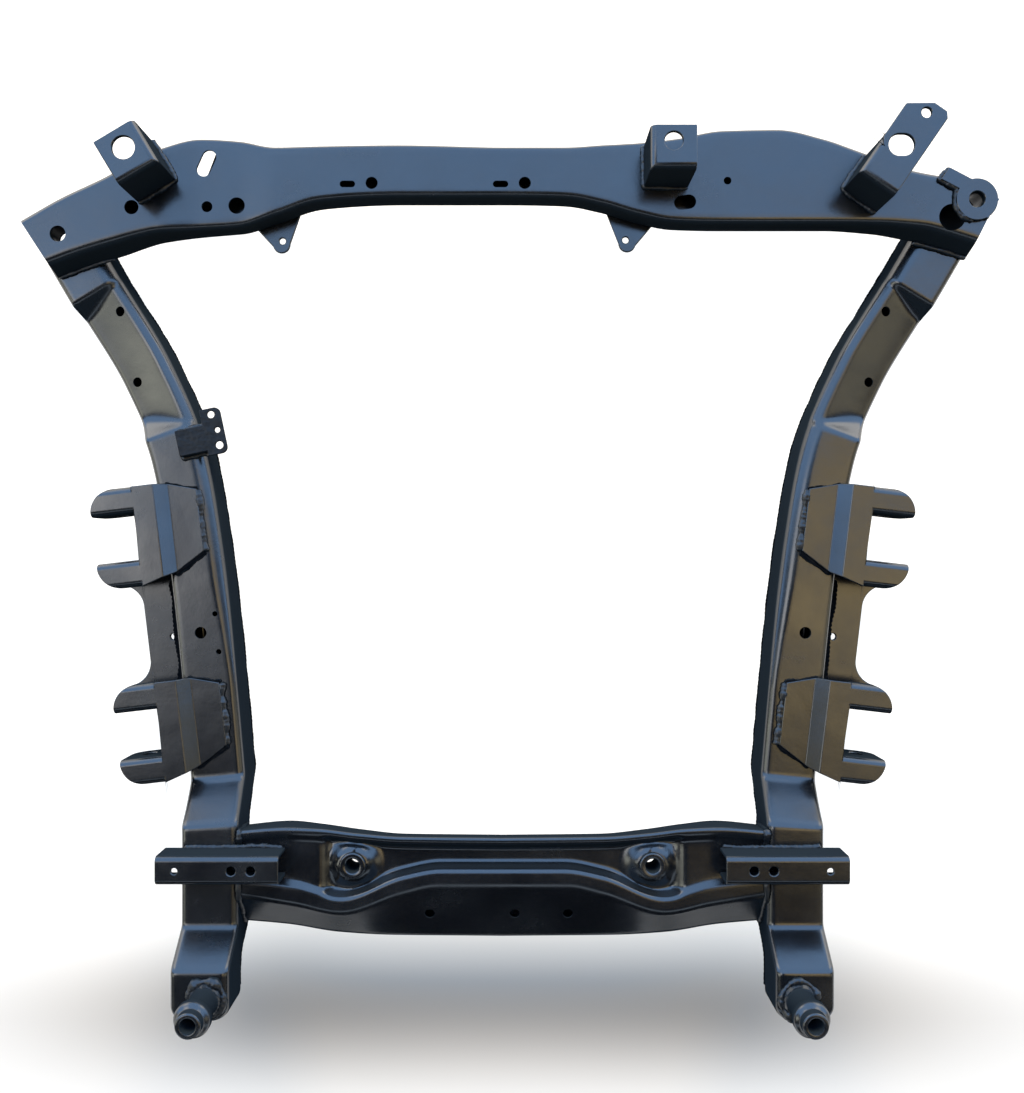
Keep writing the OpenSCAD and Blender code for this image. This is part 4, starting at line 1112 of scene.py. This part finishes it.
class SUBFRAME_OT_stage(bpy.types.Operator):
    """Set the floor, the soft panel, the air round them and the camera over the subframe"""

    bl_idname = "subframe.stage"
    bl_label = "Stage"

    def execute(self, context):
        scene = context.scene
        corners = mm(np.array([(x * FLOOR_HALF, y * FLOOR_HALF, FLOOR_LEVEL)
                               for x, y in ((-1, -1), (1, -1), (1, 1), (-1, 1))]))
        mesh = new_mesh("floor", corners, [[0, 1, 2, 3]])
        floor = bpy.data.objects.new("floor", mesh)
        scene.collection.objects.link(floor)
        mesh.materials.append(self.floor_paper(scene.subframe_look))
        self.rear_panel(scene)
        self.air(scene)
        camera = bpy.data.cameras.new("camera")
        camera.sensor_fit = "VERTICAL"
        camera.sensor_height = SENSOR_HEIGHT
        camera.lens = SENSOR_HEIGHT * FOCAL_LENGTH / PICTURE_HEIGHT
        camera.clip_start = 0.01
        view = bpy.data.objects.new("camera", camera)
        view.location = CAMERA_AT
        scene.collection.objects.link(view)
        scene.camera = view
        scene.view_settings.view_transform = "Standard"
        return {"FINISHED"}

    def floor_paper(self, look):
        """Matt white paper. For the camera and in gloss it glows towards white, except in front, where it
        glows less as painted shade and fades in a painted shadow, and it keeps the cast shadow too. The glow
        is a smooth step of the distance from the painted shadow's middle line, in fades."""
        material = bpy.data.materials.new("white_paper_floor")
        material.use_nodes = True
        tree = material.node_tree
        rays = add_node(tree, "ShaderNodeLightPath", {}, {}).outputs
        either = add_node(tree, "ShaderNodeMath", {"operation": "MAXIMUM"},
                          {0: rays["Is Camera Ray"], 1: rays["Is Glossy Ray"]})
        seen = add_node(tree, "ShaderNodeMath", {"operation": "MAXIMUM"},
                        {0: either, 1: rays["Is Transmission Ray"]})
        place = add_node(tree, "ShaderNodeTexCoord", {}, {}).outputs["Object"]
        axes = add_node(tree, "ShaderNodeSeparateXYZ", {}, {"Vector": place}).outputs
        # Painted shade: the front of the floor glows less than the rest, so it reads darker there
        back = add_node(tree, "ShaderNodeMapRange", {},
                        {"Value": axes["Y"], "From Min": -0.45, "From Max": -0.25, "To Min": 0.6})
        # Painted shadow: the glow fades out in a soft oval in front of the front beam
        apart = add_node(tree, "ShaderNodeMath", {"operation": "ABSOLUTE"}, {0: axes["X"]})
        across = add_node(tree, "ShaderNodeMapRange", {"clamp": False},
                          {"Value": apart, "From Min": PAINTED_SHADOW_HALF, "From Max": PAINTED_SHADOW_HALF + PAINTED_SHADOW_SIDE})
        beyond = add_node(tree, "ShaderNodeMath", {"operation": "MAXIMUM"}, {0: across, 1: 0.0})
        along = add_node(tree, "ShaderNodeMapRange", {"clamp": False},
                         {"Value": axes["Y"], "From Min": PAINTED_SHADOW_Y, "From Max": PAINTED_SHADOW_Y + PAINTED_SHADOW_FADE})
        offset = add_node(tree, "ShaderNodeCombineXYZ", {}, {"X": beyond, "Y": along})
        away = add_node(tree, "ShaderNodeVectorMath", {"operation": "LENGTH"}, {0: offset})
        painted_shadow = add_node(tree, "ShaderNodeMapRange", {"interpolation_type": "SMOOTHSTEP"}, {"Value": away})
        lift = add_node(tree, "ShaderNodeMath", {"operation": "MULTIPLY"}, {0: painted_shadow, 1: back})
        shown = add_node(tree, "ShaderNodeMath", {"operation": "MULTIPLY"}, {0: seen, 1: lift})
        feed(tree, tree.nodes["Principled BSDF"], {
            "Base Color": (*look.floor, 1), "Roughness": 0.9, "Specular IOR Level": 0.0,
            "Emission Color": FLOOR_GLOW, "Emission Strength": shown,
        })
        return material

    def rear_panel(self, scene):
        """A soft panel in the rear, turned about X: the tangent is its run to the aim over its drop."""
        lamp = bpy.data.lights.new("rear_panel", "AREA")
        lamp.shape = "RECTANGLE"
        lamp.size, lamp.size_y = PANEL_SIZE
        lamp.energy = PANEL_POWER
        lamp.color = linear(PANEL_COLOUR)
        panel = bpy.data.objects.new("rear_panel", lamp)
        panel.location = PANEL_AT
        panel.rotation_euler = (np.arctan2(PANEL_AIM[1] - PANEL_AT[1], PANEL_AT[2] - PANEL_AIM[2]), 0, 0)
        panel.visible_glossy = False
        scene.collection.objects.link(panel)

    def air(self, scene):
        """Studio air: blue from the rear, warm white from the sides and dark in front. A zone's share is
        the product of smooth steps along the direction's axes, and blotches where it is broken up."""
        studio = bpy.data.worlds.new("studio_air")
        studio.use_nodes = True
        tree = studio.node_tree
        way = add_node(tree, "ShaderNodeTexCoord", {}, {}).outputs["Generated"]
        axes = add_node(tree, "ShaderNodeSeparateXYZ", {}, {"Vector": way}).outputs
        blotches = add_node(tree, "ShaderNodeTexNoise", {}, {"Vector": way, "Scale": 11.0, "Detail": 1.0})
        uneven = add_node(tree, "ShaderNodeMapRange", {},
                          {"Value": blotches, "From Min": 0.37, "From Max": 0.6, "To Min": 0.15})
        thin, deep = ((*linear(blue), 1) for blue in SKY_BLUES)
        sky = add_node(tree, "ShaderNodeMix", {"data_type": "RGBA"}, {"Factor": uneven, "A": thin, "B": deep})
        air = (*linear(AIR_DARK), 1)
        for limits, broken, tint in AIR_ZONES:
            share = uneven if broken else 1.0
            for axis, off, full in limits:
                step = add_node(tree, "ShaderNodeMapRange", {"interpolation_type": "SMOOTHSTEP"},
                                {"Value": axes[axis], "From Min": off, "From Max": full})
                share = add_node(tree, "ShaderNodeMath", {"operation": "MULTIPLY"}, {0: share, 1: step})
            colours = {"A": air, "B": sky if tint == "sky" else (*linear(tint), 1)}
            air = add_node(tree, "ShaderNodeMix", {"data_type": "RGBA"}, {"Factor": share, **colours})
        feed(tree, tree.nodes["Background"], {"Color": air, "Strength": AIR_STRENGTH})
        scene.world = studio


class SUBFRAME_PT_panel(bpy.types.Panel):
    """The subframe's sizes, colours and steps"""

    bl_idname = "SUBFRAME_PT_panel"
    bl_label = "Front subframe"
    bl_space_type = "VIEW_3D"
    bl_region_type = "UI"
    bl_category = "Subframe"

    def draw(self, context):
        """A box of sizes for each group, then a button for each step."""
        for key in GROUPS:
            box = self.layout.box()
            group = getattr(context.scene, key)
            for name in group.__annotations__:
                box.prop(group, name)
        for operator in OPERATORS:
            self.layout.operator(operator.bl_idname)


GROUPS = {
    "subframe_sheet": SubframeSheet, "subframe_rail": SubframeRail, "subframe_beam": SubframeBeam,
    "subframe_weld": SubframeWeld, "subframe_look": SubframeLook,
}
OPERATORS = [
    SUBFRAME_OT_rails, SUBFRAME_OT_rear_beam, SUBFRAME_OT_front_beam, SUBFRAME_OT_brackets, SUBFRAME_OT_pins,
    SUBFRAME_OT_welds, SUBFRAME_OT_stage,
]


def register():
    """Register the property groups, the operators and the panel."""
    for key, group in GROUPS.items():
        bpy.utils.register_class(group)
        setattr(bpy.types.Scene, key, bpy.props.PointerProperty(type=group))
    for cls in OPERATORS + [SUBFRAME_PT_panel]:
        bpy.utils.register_class(cls)


def unregister():
    """Take the classes out again, in turn."""
    for cls in [SUBFRAME_PT_panel] + OPERATORS[::-1]:
        bpy.utils.unregister_class(cls)
    for key, group in GROUPS.items():
        delattr(bpy.types.Scene, key)
        bpy.utils.unregister_class(group)


def main():
    """Build the subframe piece by piece."""
    register()
    bpy.ops.subframe.rails()
    bpy.ops.subframe.rear_beam()
    bpy.ops.subframe.front_beam()
    bpy.ops.subframe.brackets()
    bpy.ops.subframe.pins()
    bpy.ops.subframe.welds()
    bpy.ops.subframe.stage()


if __name__ == "__main__":
    main()
